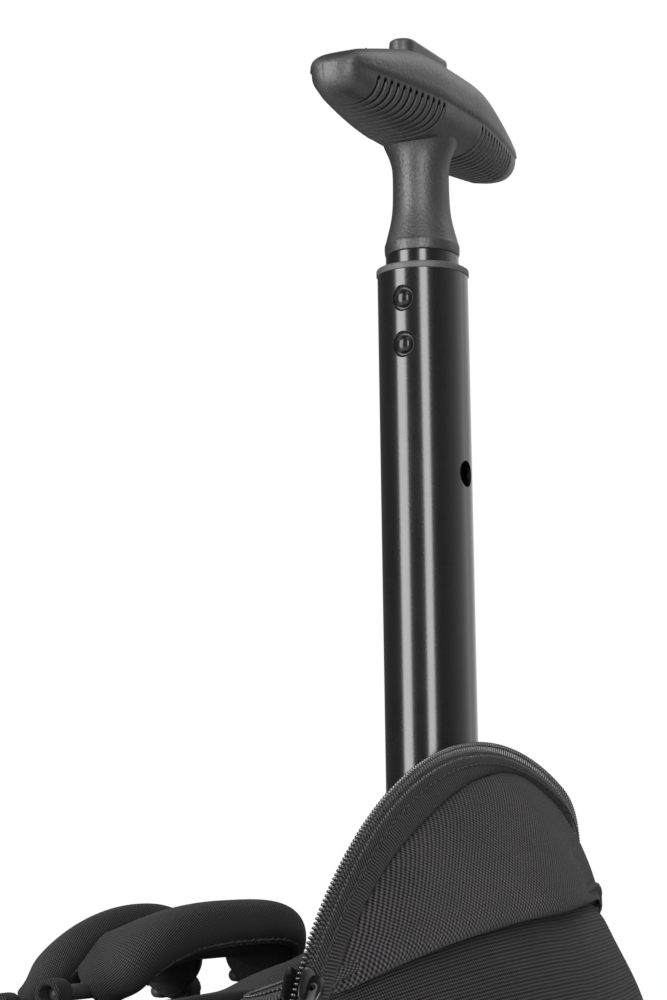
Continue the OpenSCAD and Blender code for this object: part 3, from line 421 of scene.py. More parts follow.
def make_materials(sizes, colours):
    s, c = sizes, colours
    fabric("body_cloth", tuple(c.body), "basket", s.basket_pitch * 800, 0.28, 1.9)
    fabric("ripstop_cloth", tuple(c.panel), "ripstop", s.ripstop_pitch * 1000, 0.28, 2.4)
    fabric("basket_cloth", tuple(c.pad), "basket", s.basket_pitch * 1000, 0.6, 2.9)
    fabric("herringbone_tape", tuple(c.tape), "twill", s.twill_pitch * 800, 0.2, 2.0, turnback=6.5)
    fabric("twill_webbing", tuple(0.6 * v for v in c.tape), "twill", s.twill_pitch * 600, 0.2, 1.9)
    fabric("handle_twill", tuple(c.handle), "twill", s.twill_pitch * 500, 0.2, 2.1)
    fabric("brushed_lining", tuple(c.lining), "twill", 0.9, 0.12, 1.5, sheen=0.3)
    moulded("grained_grip", tuple(c.grip), 0.45, 950, 0.17, rub=0.05, specular=0.75, painted_groove_shade=True)
    moulded("glossy_coat", tuple(c.tube), 0.3, 260, 0.002, rub=0.0, dust=0.0, coat=1.0, specular=0.12)
    moulded("matte_collar", tuple(c.collar), 0.5, 700, 0.03, rub=0.08)
    moulded("moulded_black", tuple(c.mould), 0.52, 620, 0.06, rub=0.12, dust=0.12)
    moulded("tyre_rubber", (0.03, 0.03, 0.031), 0.78, 420, 0.10, rub=0.3, dust=0.3)
    moulded("pull_rubber", (0.03, 0.03, 0.031), 0.62, 500, 0.04, rub=0.1)
    moulded("slider_enamel", (0.006, 0.006, 0.0065), 0.2, 300, 0.002, rub=0.0, specular=0.35)
    moulded("coil_nylon", (0.022, 0.022, 0.023), 0.24, 800, 0.01, rub=0.03, specular=0.9)
    moulded("thread_black", (0.020, 0.020, 0.021), 0.6, 2400, 0.05, rub=0.05)
    brushed_steel()


# ---------------------------------------------------------------- mesh helpers

def finish_piece(obj, material, body, replaces=(), smooth=True):
    obj.data.materials.clear()
    obj.data.materials.append(MATS[material])
    if smooth and obj.type == "MESH":
        obj.data.shade_smooth()
    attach(obj, body)
    if replaces:
        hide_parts(*replaces)
    return obj


def mesh_object(name, verts, faces, uvs=None):
    """Object from points in millimetres, with its cloth map in millimetres"""
    me = bpy.data.meshes.new(name)
    me.from_pydata([(x * MM, y * MM, z * MM) for x, y, z in verts], [], faces)
    if uvs is not None:
        layer = me.uv_layers.new(name="cloth")
        for loop in me.loops:
            layer.data[loop.index].uv = uvs[loop.vertex_index]
    me.validate()
    obj = bpy.data.objects.new(name, me)
    bpy.context.collection.objects.link(obj)
    return obj


def grid(rows, caps=False):
    """Points, faces and arc-length map of a sheet of rows"""
    n, m = len(rows), len(rows[0])
    verts = [p for r in rows for p in r]
    us = []
    for r in rows:
        d = [0.0]
        for a, b in zip(r, r[1:]):
            d.append(d[-1] + math.dist(a, b))
        us.append(d)
    mid = m // 2
    run = [0.0]
    for a, b in zip(rows, rows[1:]):
        run.append(run[-1] + math.dist(a[mid], b[mid]))
    uvs = [(us[i][j] - us[i][mid], run[i]) for i in range(n) for j in range(m)]
    faces = []
    for i in range(n - 1):
        for a in range(i * m, i * m + m - 1):
            faces.append((a, a + 1, a + m + 1, a + m))
    if caps:
        faces.append(tuple(range(m - 1, -1, -1)))
        faces.append(tuple((n - 1) * m + j for j in range(m)))
    return verts, faces, uvs


def surface(name, rows, turned=False, caps=False):
    """Object from a sheet of rows; a turned one runs its cloth map along the rows"""
    verts, faces, uvs = grid(rows, caps)
    return mesh_object(name, verts, faces, [(b, a) for a, b in uvs] if turned else uvs)


def outward(obj):
    """Turns all faces of a closed piece outwards"""
    bm = bmesh.new()
    bm.from_mesh(obj.data)
    bmesh.ops.recalc_face_normals(bm, faces=bm.faces)
    bm.to_mesh(obj.data)
    bm.free()


def thicken(obj, mm, offset=-1.0):
    """Gives a sheet its thickness, and rounds it"""
    s = obj.modifiers.new("thickness", "SOLIDIFY")
    s.thickness = mm * MM
    s.offset = offset
    round_off(obj)


def round_off(obj):
    """Subdivides a piece once and applies its modifiers"""
    d = obj.modifiers.new("round", "SUBSURF")
    d.levels = d.render_levels = 1
    apply_all(obj)


def apply_all(obj):
    """Replaces a piece's mesh by what its modifiers make of it"""
    dg = bpy.context.evaluated_depsgraph_get()
    me = bpy.data.meshes.new_from_object(obj.evaluated_get(dg))
    old = obj.data
    obj.modifiers.clear()
    obj.data = me
    bpy.data.meshes.remove(old)


def box_map(obj):
    """Cloth map by the side that each face looks to"""
    me = obj.data
    layer = me.uv_layers.get("cloth") or me.uv_layers.new(name="cloth")
    for poly in me.polygons:
        n = poly.normal
        k = max(range(3), key=lambda i: abs(n[i]))
        for li in poly.loop_indices:
            c = me.vertices[me.loops[li].vertex_index].co / MM
            layer.data[li].uv = ((c.y, c.z), (c.x, c.z), (c.x, c.y))[k]


def soft_copy(node, voxel, rounds, move=None):
    """Soft piece from a CAD solid: remeshed, relaxed and moved point by point"""
    src = NODES[node]
    me = src.data.copy()
    me.transform(src.matrix_world)
    me.materials.clear()
    obj = bpy.data.objects.new("soft_" + node, me)
    bpy.context.collection.objects.link(obj)
    r = obj.modifiers.new("remesh", "REMESH")
    r.mode = "VOXEL"
    r.voxel_size = voxel * MM
    s = obj.modifiers.new("relax", "SMOOTH")
    s.factor = 0.5
    s.iterations = rounds
    apply_all(obj)
    if move:
        for v in obj.data.vertices:
            c = v.co / MM
            v.co = Vector(move(c.x, c.y, c.z)) * MM
    box_map(obj)
    return obj


def soft_piece(node, voxel, rounds, material, body, move=None):
    """Soft copy that stands for its solid"""
    obj = finish_piece(soft_copy(node, voxel, rounds, move), material, body, [node])


def tube_rows(path, section, up=(0, 0, 1)):
    """Rows of a section swept along a path; section(i) gives points across and up"""
    rows = []
    n = len(path)
    for i, p in enumerate(path):
        a, b = Vector(path[max(0, i - 1)]), Vector(path[min(n - 1, i + 1)])
        t = (b - a).normalized()
        side = t.cross(Vector(up))
        side = side.normalized() if side.length > 1e-6 else Vector((1, 0, 0))
        top = side.cross(t).normalized()
        rows.append([tuple(Vector(p) + side * x + top * y) for x, y in section(i)])
    return rows


def circle(r, n):
    """Points of a round section"""
    return [(r * math.cos(2 * math.pi * k / n), r * math.sin(2 * math.pi * k / n)) for k in range(n)]


def bent(c, power):
    """Sine or cosine raised to a power, with its sign"""
    return math.copysign(abs(c) ** power, c)


def oval(rx, ry, straight, z, n=72):
    """Closed ring round the pole: an ellipse pulled apart by a straight length"""
    row = []
    for k in range(n):
        q = 2 * math.pi * (k + 0.5) / n
        c = math.cos(q)
        row.append((rx * c + math.copysign(straight, c), POLE_Y + ry * math.sin(q), z))
    return row + [row[0]]


def swept(name, path, section, up=(0, 0, 1)):
    """Capped tube of a section along a path"""
    rows = tube_rows(path, section, up)
    obj = surface(name, [r + [r[0]] for r in rows], caps=True)
    outward(obj)
    return obj


def stitches(name, path, length, gap, radius, normal):
    """Row of sewn stitches along a path of points"""
    verts, faces = [], []
    run = 0.0
    pts = [Vector(p) for p in path]
    total = [0.0]
    for a, b in zip(pts, pts[1:]):
        total.append(total[-1] + (b - a).length)

    def at(d):
        for k in range(len(total) - 1):
            if d <= total[k + 1]:
                s = (d - total[k]) / max(1e-9, total[k + 1] - total[k])
                return pts[k].lerp(pts[k + 1], s), k
        return pts[-1], len(pts) - 2
    while run + length < total[-1]:
        base = len(verts)
        for s, h in ((0.0, -0.6), (0.15, 0.5), (0.5, 1.0), (0.85, 0.5), (1.0, -0.6)):
            p, k = at(run + s * length)
            t = (pts[k + 1] - pts[k]).normalized()
            nn = Vector(normal(k)) if callable(normal) else Vector(normal)
            side = t.cross(nn).normalized()
            c = p + nn * (radius * h * 0.8)
            for x, y in circle(radius, 6):
                verts.append(tuple(c + side * x + nn * y))
        for q in range(4):
            for k in range(6):
                a, b = base + q * 6 + k, base + q * 6 + (k + 1) % 6
                faces.append((a, b, b + 6, a + 6))
        run += length + gap
    return mesh_object(name, verts, faces)


def smooth01(a, b, x):
    """Smooth step from 0 at a to 1 at b"""
    t = min(1.0, max(0.0, (x - a) / (b - a)))
    return t * t * (3 - 2 * t)


def pillow(d, w):
    """Rounded rise from an edge over a width"""
    t = min(1.0, max(0.0, d / w))
    return math.sqrt(max(0.0, 1 - (1 - t) ** 2))


def ball(verts, faces, centre, axes, nu=8, nv=5):
    """Adds an egg with three half axes to a point list"""
    c, (a, b, d) = Vector(centre), [Vector(x) for x in axes]
    base = len(verts)
    verts.append(tuple(c + d))
    for i in range(1, nv):
        t = math.pi * i / nv
        for k in range(nu):
            p = 2 * math.pi * k / nu
            verts.append(tuple(c + a * (math.sin(t) * math.cos(p)) + b * (math.sin(t) * math.sin(p)) + d * math.cos(t)))
    verts.append(tuple(c - d))
    last = len(verts) - 1
    for k in range(nu):
        faces.append((base, base + 1 + k, base + 1 + (k + 1) % nu))
        q = base + 1 + (nv - 2) * nu
        faces.append((last, q + (k + 1) % nu, q + k))
    for i in range(nv - 2):
        for k in range(nu):
            a0, b0 = base + 1 + i * nu + k, base + 1 + i * nu + (k + 1) % nu
            faces.append((a0, a0 + nu, b0 + nu, b0))


def teeth(name, path, out, flat, pitch, reach=2.6, half=1.2, inner=True):
    """Coil teeth along a path: out points to the free edge, flat through the tape"""
    pts = [Vector(p) for p in path]
    run = [0.0]
    for a, b in zip(pts, pts[1:]):
        run.append(run[-1] + (b - a).length)
    verts, faces = [], []
    d, k = pitch * 0.5, 0
    while d < run[-1]:
        while run[k + 1] < d:
            k += 1
        s = (d - run[k]) / max(1e-9, run[k + 1] - run[k])
        p = pts[k].lerp(pts[k + 1], s)
        t = (pts[k + 1] - pts[k]).normalized()
        o, f = Vector(out(p)).normalized(), Vector(flat(p)).normalized()
        w = pitch * 0.24
        ball(verts, faces, p + o * reach * 0.35, (t * w * 0.8, f * half * 0.85, o * reach * 0.85), 6, 4)
        ball(verts, faces, p + o * reach * 0.95, (t * w * 1.15, f * half, o * reach * 0.36), 7, 5)
        if inner:
            ball(verts, faces, p - o * 1.9 + f * half * 0.9, (t * w * 0.95, f * 0.55, o * 0.95), 6, 4)
        d += pitch
    return mesh_object(name, verts, faces)


# ---------------------------------------------------------------- rear compartment

def out_w(z):
    """Half width of the arched rear panel at a height"""
    return math.sqrt(max(0.0, PAD_R ** 2 - (z - ARCH_Z) ** 2)) if z > ARCH_Z else PAD_R


def edge_w(z):
    """Half width of the panel, which narrows between the wheel housings"""
    return out_w(z) if z > HOUSING_TOP else FOOT_W + (PAD_R - FOOT_W) * smooth01(HOUSING_LOW, HOUSING_TOP, z)


def inset(x, z):
    """Distance in from the rim of the rear panel"""
    return PAD_R - (math.hypot(x, z - ARCH_Z) if z > ARCH_Z else abs(x))


def skin_y(x, z):
    """Depth of the bulging rear panel"""
    full = BULGE * (1 if z > FULL_Z else 0.46 + 0.54 * math.sin(math.pi / 2 * (z - BODY_Z) / (FULL_Z - BODY_Z)))
    return RIM_Y + 1.6 + full * math.sin(math.pi / 2 * min(1, max(0, inset(x, z)) / SWELL))


def seam_base(u):
    """Height where the seam meets the rim, by share of the half width"""
    return SEAM_Z + (SEAM_LIFT * (-u) ** 1.5 if u < 0 else 0.0)


def seam_at(u):
    """Height of the pad's lower seam"""
    return SEAM_Z + SEAM_RISE * (1 - u * u) if u > 0 else SEAM_Z + SEAM_RISE - 8.0 * u * (1 + u) + u


def around(x, z):
    """Degrees from the top of the arch, to the right"""
    return math.degrees(math.atan2(x, max(1.0, z - ARCH_Z)))


def pad_rim(x, z):
    """Radius of the pad's upper seam: it nears the zip over the top and down the left"""
    a = around(x, z)
    return 149.0 + 12.0 * (1 - smooth01(-15, 25, a)) - 10.5 * (1 - smooth01(-47, -28, a))


def ripple(x, z, size):
    """Quiet unevenness of stretched cloth"""
    broad = math.sin(x * 0.051 + 1.3 * math.sin(z * 0.043)) * math.sin(z * 0.067 + 0.8)
    return size * (broad + 0.5 * math.sin(x * 0.11 - z * 0.09))


def slump(x, z):
    """How far the free left side of the flap hangs forward, as in the photo"""
    a = -around(x, z)
    return -SLUMP * smooth01(24, 50, a) * (1 - smooth01(63, 68, a))


def arch_path(r, y, n):
    """Path along the arch from its right end to its left, hanging with the flap"""
    path = []
    for i in range(n + 1):
        a = ZIP_END - 2 * ZIP_END * i / n
        x, z = r * math.sin(a), ARCH_Z + r * math.cos(a)
        path.append((x, y + slump(x, z), z))
    return path


def build_rear(sizes):
    crown = sizes.pad_crown / MM
    top = ARCH_Z + PAD_R - 0.4

    def edge(x, z):
        return slump(x, z) * (1 - smooth01(0, 6, inset(x, z)))
    rows = []
    for i in range(-2, 53):
        g = max(0, i) / 52
        g = g * g * (3 - 2 * g) * 0.35 + g * 0.65
        row = []
        for j in range(105):
            u = 1 - 2 * j / 104
            u = math.sin(u * math.pi / 2) * 0.45 + u * 0.55
            ze = seam_base(u) + (top - seam_base(u)) * g
            x = u * out_w(ze)
            z = ze + (seam_at(u) - seam_base(u)) * (1 - g)
            low = z - seam_at(u)
            # the round grid grows out to the seam's own line
            r = math.hypot(x, z - ARCH_Z)
            rim = pad_rim(x, z)
            grow = 1 + (rim / PAD_R - 1) * (r / PAD_R) ** 5
            deep = max(0.0, PAD_R - r) * rim / PAD_R
            x, z = x * grow, ARCH_Z + (z - ARCH_Z) * grow
            full = smooth01(-60, -5, x)
            lift = min(pillow(deep + 0.2, 13), pillow(low + 0.3, 8))
            hang = 2.0 * (1 - smooth01(4, 40, low)) * pillow(deep, 30) * full
            dip = 2.0 + 1.6 * full
            y = (RIM_Y + 1.6 + BULGE * math.sin(math.pi / 2 * min(1, deep / SWELL)) - dip
                 + (crown * full + dip) * lift + hang * lift + ripple(x, z, 0.25) * lift)
            y += slump(x, z) * (1 - smooth01(0, 5 + 26 * smooth01(43, 50, -around(x, z)), deep))
            sag = -2.0 * (1 - smooth01(2, 12, low)) * pillow(low + 0.3, 8)
            if i < 0:
                y, sag = y - 2.0 * -i, 2.2 * -i
            row.append((x, y, z + sag))
        rows.append(row)
    pad = surface("crescent_pad", rows)
    thicken(pad, 4.0)
    finish_piece(pad, "basket_cloth", "case", ["rear_crescent_pad"])

    rows = []
    for i in range(88):
        g = min(1, i / 84)
        g = 0.72 * g + 0.28 * (1 - (1 - g) ** 2)
        row = []
        for j in range(97):
            u = 1 - 2 * j / 96
            u = math.sin(u * math.pi / 2) * 0.35 + u * 0.65
            ze = BODY_Z + 0.6 + (seam_base(u) - BODY_Z - 0.6) * g
            w = edge_w(ze)
            x, z = u * w, ze + (seam_at(u) - seam_base(u)) * g ** 2.2
            side = min(inset(x, z), w - abs(x))
            high = seam_at(u) - z
            lift = min(pillow(side + 0.2, 11), 0.5 * pillow(high + 0.4, 6) + 0.5 * smooth01(0, 34, high))
            low = smooth01(BODY_Z - 4, BODY_Z + 16, z)
            y = skin_y(x, z) - 5.0 + (5.0 + 1.0 * low) * lift + ripple(x, z, 0.3) * lift * low + edge(x, z)
            if i > 84:
                y, z = y - 1.6 * (i - 84), z + 2.4 * (i - 84)
            row.append((x, y, z))
        rows.append(row)
    panel = surface("rear_panel_cloth", rows)
    thicken(panel, 2.6)
    finish_piece(panel, "ripstop_cloth", "case", ["rear_panel"])

    # tape along the arch, rounded like a piping
    profile = [(146.0, -7.0), (148.4, -5.2), (150.0, -3.2), (151.3, -0.7), (152.6, 1.1), (154.6, 2.3), (157.2, 2.8),
            (160.0, 2.3), (162.2, 1.2), (163.8, 0.5), (165.0, 0.3)]
    rows = []
    for i in range(281):
        a = ZIP_END - 2 * ZIP_END * i / 280
        puck = 0.05 * math.sin(i * 0.9) + 0.05 * math.sin(i * 0.37)
        row = []
        wide = (TAPE_RUN - pad_rim(99 * math.sin(a), ARCH_Z + 99 * math.cos(a))) / 15
        flat = 1 - 0.8 * smooth01(24, 42, -math.degrees(a))
        for k, (r, y) in enumerate(profile):
            r = HALF_W - (HALF_W - r) * wide
            x, z = r * math.sin(a), ARCH_Z + r * math.cos(a)
            rise = y * (min(1.0, wide) * flat if y > 0 else 1)
            row.append((x, RIM_Y + 1.4 + rise + puck * (1 if 2 < k < 9 else 0.2) + slump(x, z), z))
        rows.append(row)
    tape = surface("arch_tape", rows, turned=True)
    outward_y(tape)
    thicken(tape, 1.3)
    finish_piece(tape, "herringbone_tape", "case", ["rear_zip_tape"])

    coil = teeth("arch_teeth", arch_path(HALF_W, RIM_Y + 0.8, 400), lambda p: (p.x, 0, p.z - ARCH_Z),
            lambda p: (0, 1, 0), sizes.tooth_pitch / MM)
    finish_piece(coil, "coil_nylon", "case", ["rear_zip_coil"])
    # sewn line beside the coil
    sewn = stitches("arch_stitches", arch_path(SEWN_R, RIM_Y + 3.45, 300), sizes.stitch / MM * 0.8, 1.2, 0.28,
            (0, 1, 0))
    finish_piece(sewn, "thread_black", "case")


def outward_y(obj):
    """Turns a sheet's faces to the back"""
    if sum(p.normal.y * p.area for p in obj.data.polygons) < 0:
        obj.data.flip_normals()


# ---------------------------------------------------------------- hood

def build_hood(sizes):
    def fold(x, y, z):
        e = smooth01(52, 75, abs(x))
        z -= 0.9 * max(0, z - 384) * smooth01(10, 70, x)
        crease = 1.3 * math.sin(x * 0.085 + y * 0.2) + 0.8 * math.sin(x * 0.21)
        return (x, y + 1.4 * math.sin(x * 0.12) * (1 - e), z + crease * (1 - e) * smooth01(391, 396, z))
    soft_piece("hood", 1.8, 5, "body_cloth", "case", fold)

    def swell(x, y, z):
        return (x + math.copysign(1.2 * math.sin(math.pi * min(1, max(0, (y - BACK_Y) / 40))), x), y, z)
    soft_piece("hood_sides", 1.3, 3, "body_cloth", "case", swell)
    # the hood's own half of the zip: from one slider over the folded hood to the other
    key = [(139.0, 70.5, 391.0), (136.5, 61, 388.6), (130.5, 53.0, 387.4), (120.5, 47.6, 387.4), (108, 45.0, 388.2),
            (94, 43.0, 389.2), (80, 40.5, 390.2), (64, 36.5, 391.6), (46, 29.5, 394.6), (24, 21.0, 399.6),
            (0, 18.0, 401.6)]
    far = [(-25, 18.0, 401.8), (-50, 18.6, 401.2), (-72, 20.5, 399.3), (-90, 28, 396.0), (-108, 36, 393.4),
            (-124, 43, 389.6), (-137, 51, 383.4), (-145.5, 60, 376.0), (-150.5, 70.0, 370.6)]
    pts = [Vector(k) for k in key + far]
    path = spline(pts, 16)

    def off(p):
        """Level direction from the opening to the tape"""
        return Vector((p.x - max(-100, min(100, p.x)), p.y - 78, 0)).normalized()
    lip = ((0, 0), (1.6, -0.1), (3.2, -0.5), (4.4, -1.4), (5.2, -2.8), (5.5, -4.6))
    rows = [[tuple(p + off(p) * a + Vector((0, 0, b))) for a, b in lip] for p in path]
    tape = surface("hood_tape", rows, turned=True)
    thicken(tape, 1.1, offset=0.0)
    finish_piece(tape, "herringbone_tape", "case", ["hood_zip_tape"])

    coil = teeth("hood_teeth", path, lambda p: -off(p), lambda p: (0, 0, 1), sizes.tooth_pitch / MM, reach=2.2,
            half=1.0)
    finish_piece(coil, "coil_nylon", "case")


def spline(points, steps):
    """Smooth path through points"""
    out = []
    n = len(points)
    for i in range(n - 1):
        p0, p1, p2, p3 = points[max(0, i - 1)], points[i], points[i + 1], points[min(n - 1, i + 2)]
        for s in range(steps):
            t = s / steps
            bow, twist = 2 * p0 - 5 * p1 + 4 * p2 - p3, 3 * p1 - p0 - 3 * p2 + p3
            out.append(0.5 * ((2 * p1) + (p2 - p0) * t + bow * t * t + twist * t ** 3))
    out.append(points[-1])
    return out


# ---------------------------------------------------------------- carry handles

def build_handles():
    # place on the top, half span, pin's half span, rise, lean, squareness, half width, half thickness and twist
    straps = (("carry_handle_rear", 43, 52.0, 60.0, 30.0, 40.7, 3.0, 16.0, 10.0, 14.5),
              ("carry_handle_front", 12, 44.0, 46.0, 28.0, 58, 2.2, 13.0, 8.6, 45.0))
    for name, front, span, arm, rise, tilt, square, wide, thick, twist in straps:
        lean = math.radians(tilt)
        py = SHELL_Y + front
        pz = TOP_BACK - (BACK_Y - py) * TOP_SLOPE + PIVOT_H
        flat = Vector((0, math.cos(math.radians(twist)), math.sin(math.radians(twist))))
        fwd = Vector((0, math.cos(lean), math.sin(lean)))
        foot = Vector((0, py, pz))
        n = 84
        path = []
        for i in range(n + 1):
            c, d = math.cos(math.pi * i / n), max(0.0, math.sin(math.pi * i / n))
            path.append(foot + Vector((span * bent(c, 2 / square), 0, 0)) + fwd * (rise * d ** (2 / square)))
        m = len(path)

        def frame_at(i):
            """Outer side of the strap and its width direction"""
            t = (path[min(i + 1, m - 1)] - path[max(i - 1, 0)]).normalized()
            side = t.cross(flat).normalized()
            side = side if side.dot(path[i] - foot - fwd * rise * 0.2) > 0 else -side
            across = t.cross(side).normalized()
            return side, across if across.y > 0 else -across
        rows = []
        for i, p in enumerate(path):
            side, across = frame_at(i)
            s = min(i, m - 1 - i) / 12
            fat = 0.6 + 0.4 * smooth01(0, 1, s)
            row = []
            for k in range(37):
                q = 2 * math.pi * k / 36
                c, d = math.cos(q), math.sin(q)
                dent = 1 - 0.05 * math.exp(-((q - math.radians(150)) / 0.13) ** 2)
                x = thick * fat * bent(c, 0.85) * dent
                y = wide * fat * bent(d, 0.85) * dent
                row.append(tuple(p + side * x + across * y))
            rows.append(row)
        pad = surface("padded_" + name[6:], rows, caps=True)
        outward(pad)
        round_off(pad)
        finish_piece(pad, "handle_twill", name, [name])
        # pins in the sewn tabs, and two crossing rows of stitches along the seam
        for sgn in (1, -1):
            rod = [(sgn * (span - 4 + k * (arm + 16 - span + 4) / 6), py, pz) for k in range(7)]
            pin = swept("%s_pin_%s" % (name[6:], "right" if sgn > 0 else "left"), rod,
                    lambda i: circle(2.9 if 0 < i < 6 else 2.4, 14))
            finish_piece(pin, "moulded_black", name)
        for shift in (-1, 1):
            line = []
            for i in range(12, m - 13):
                side, across = frame_at(i)
                for h in range(2):
                    p = path[i].lerp(path[i + 1], h / 2)
                    q = math.radians(138) + shift * (0.12 if (i * 2 + h) % 2 else -0.12)
                    c, d = math.cos(q), math.sin(q)
                    out = side * (thick + 0.1) * bent(c, 0.85)
                    line.append(tuple(p + out + across * (wide + 0.1) * bent(d, 0.85)))
            sewn = stitches("%s_stitches_%d" % (name[6:], shift + 2), line, 2.4, 0.2, 0.38, tuple(-fwd))
            finish_piece(sewn, "thread_black", name)
    soft_piece("handle_anchors", 0.7, 3, "twill_webbing", "case")


# ---------------------------------------------------------------- body, lid and pocket

def outline(y, grow=0.0, low=66.0, n=14):
    """Path over the body from its right side to its left, at a depth"""
    top = TOP_BACK - (BACK_Y - y) * TOP_SLOPE + grow
    w, r = HALF_W + grow, CORNER_R + grow
    pts = [(w, y, low + (top - r - low) * k / 20) for k in range(20)]
    pts += [(w - r + r * math.cos(math.pi / 2 * k / n), y,
            top - r + r * math.sin(math.pi / 2 * k / n)) for k in range(n + 1)]
    flat = [(w - r - 2 * (w - r) * k / 24, y, top) for k in range(1, 24)]
    return pts + flat + [(-x, b, z) for x, b, z in reversed(pts)]


def settle(y, z):
    """How far the soft rear edge of the top has sunk"""
    return z - SETTLE * smooth01(0, 24, y) * smooth01(368, 386, z)


def build_body(sizes):
    mid = (SHELL_Y + BACK_Y) / 2

    def puff(x, y, z):
        f = max(0, 1 - ((y - mid) / 62) ** 4) * smooth01(70, 130, z) * (1 - smooth01(300, 352, z))
        return (x + math.copysign(4.0 * f * smooth01(HALF_W - 14, HALF_W - 7, abs(x)), x), y, settle(y, z))
    soft_piece("main_shell", 3.0, 3, "body_cloth", "case", puff)

    def lid_puff(x, y, z):
        f = max(0, 1 - (x / 163) ** 6) * max(0, 1 - abs((z - 213) / 150) ** 6)
        return (x, y - 2.6 * f * (1 - smooth01(LID_Y + 3, LID_Y + 8, y)), z)
    soft_piece("lid", 2.8, 5, "body_cloth", "lid", lid_puff)

    def pocket_puff(x, y, z):
        f = max(0, 1 - (x / 133) ** 4) * max(0, 1 - ((z - 165) / 84) ** 4)
        return (x, y - (2.4 * f + 0.6 * math.sin(x * 0.05 + z * 0.04) * f) * smooth01(0, 1, (LID_Y - y) / 4), z)
    soft_piece("front_pocket", 2.2, 6, "ripstop_cloth", "lid", pocket_puff)

    bead = sizes.piping / MM
    for tag, y, grow in (("front", SHELL_Y + 1.2, 0.4), ("back", BACK_Y - 1.6, 0.4)):
        cord = swept("body_piping_" + tag, [(a, b, settle(b, c)) for a, b, c in outline(y, grow)],
                lambda i: circle(bead, 10), up=(0, 1, 0))
        finish_piece(cord, "twill_webbing", "case")
        step = 6.0 if tag == "front" else -6.0
        path = [(a, b, settle(b, c)) for a, b, c in outline(y + step, 0.35)]
        mids = [Vector(p) for p in path]

        def face(k):
            p = mids[k]
            if p.z < TOP_BACK - 80 and abs(p.x) > 160:
                return (math.copysign(1, p.x), 0, 0)
            inner = HALF_W - CORNER_R
            x = math.copysign(inner, p.x) if abs(p.x) > inner else p.x
            c = Vector((x, p.y, TOP_BACK - (BACK_Y - p.y) * TOP_SLOPE - CORNER_R))
            return tuple((p - c).normalized())
        sewn = stitches("body_stitches_" + tag, path, sizes.stitch / MM, 1.5, 0.32, face)
        finish_piece(sewn, "thread_black", "case")

    for node, body in (("lid_zip_tape", "lid"), ("shell_zip_tape", "case")):
        soft_piece(node, 0.9, 2, "twill_webbing", body)
    y0 = LID_BACK_Y + 3.2
    top = outline(y0, -1.2, 100)
    slope_fix = TOP_BACK - (BACK_Y - SHELL_Y) * TOP_SLOPE
    top = [(x, y, z - (TOP_BACK - (BACK_Y - y0) * TOP_SLOPE - slope_fix)) for x, y, z in top]

    def out(p):
        return (math.copysign(1, p.x), 0, 0) if abs(p.x) > 160 else (0, 0, 1)
    coil = teeth("lid_teeth", top, lambda p: (0, 1, 0), out, 2.6, reach=1.6, half=0.8, inner=False)
    finish_piece(coil, "coil_nylon", "case")

    soft_piece("pocket_zip_tape", 0.9, 2, "twill_webbing", "lid")
    lo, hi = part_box("pocket_zip_tape")
    zc, yf = (lo[2] + hi[2]) / 2 / MM, lo[1] / MM
    line = [(lo[0] / MM + 4 + (hi[0] - lo[0] - 0.008) / MM * k / 40, yf, zc) for k in range(41)]
    coil = teeth("pocket_teeth", line, lambda p: (0, 0, 1), lambda p: (0, -1, 0), 2.6, reach=1.5, half=0.8)
    finish_piece(coil, "coil_nylon", "lid")
    pl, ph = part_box("front_pocket")
    frame_path = [(x, LID_Y - 0.6, z) for x, _, z in rounded(ph[0] / MM - 4, pl[2] / MM + 4, ph[2] / MM - 3, 16)]
    sewn = stitches("pocket_stitches", frame_path, sizes.stitch / MM, 1.5, 0.32, (0, -1, 0))
    finish_piece(sewn, "thread_black", "lid")

    def gusset_puff(x, y, z):
        f = math.sin(math.pi * min(1, max(0, (y - BACK_Y - 4) / 36)))
        return (x + math.copysign(1.4 * f * smooth01(95, 130, z) * smooth01(155, 162, abs(x)), x), y, z)
    soft_piece("rear_gusset", 1.7, 2, "body_cloth", "case", gusset_puff)
    soft_piece("laptop_divider", 2.4, 5, "brushed_lining", "case")
    soft_piece("laptop_strap", 0.8, 3, "twill_webbing", "case")


def rounded(w, z0, z1, r, n=8):
    """Closed path round a rectangle with round corners"""
    pts = []
    for cx, cz, a0 in ((w - r, z1 - r, 0), (-w + r, z1 - r, 90), (-w + r, z0 + r, 180), (w - r, z0 + r, 270)):
        for k in range(n + 1):
            a = math.radians(a0 + 90 * k / n)
            pts.append((cx + r * math.cos(a), 0, cz + r * math.sin(a)))
    out = []
    for p, q in zip(pts, pts[1:] + pts[:1]):
        steps = max(1, int(math.dist(p, q) / 6))
        out += [tuple(Vector(p).lerp(Vector(q), k / steps)) for k in range(steps)]
    return out + [out[0]]


# ---------------------------------------------------------------- grip

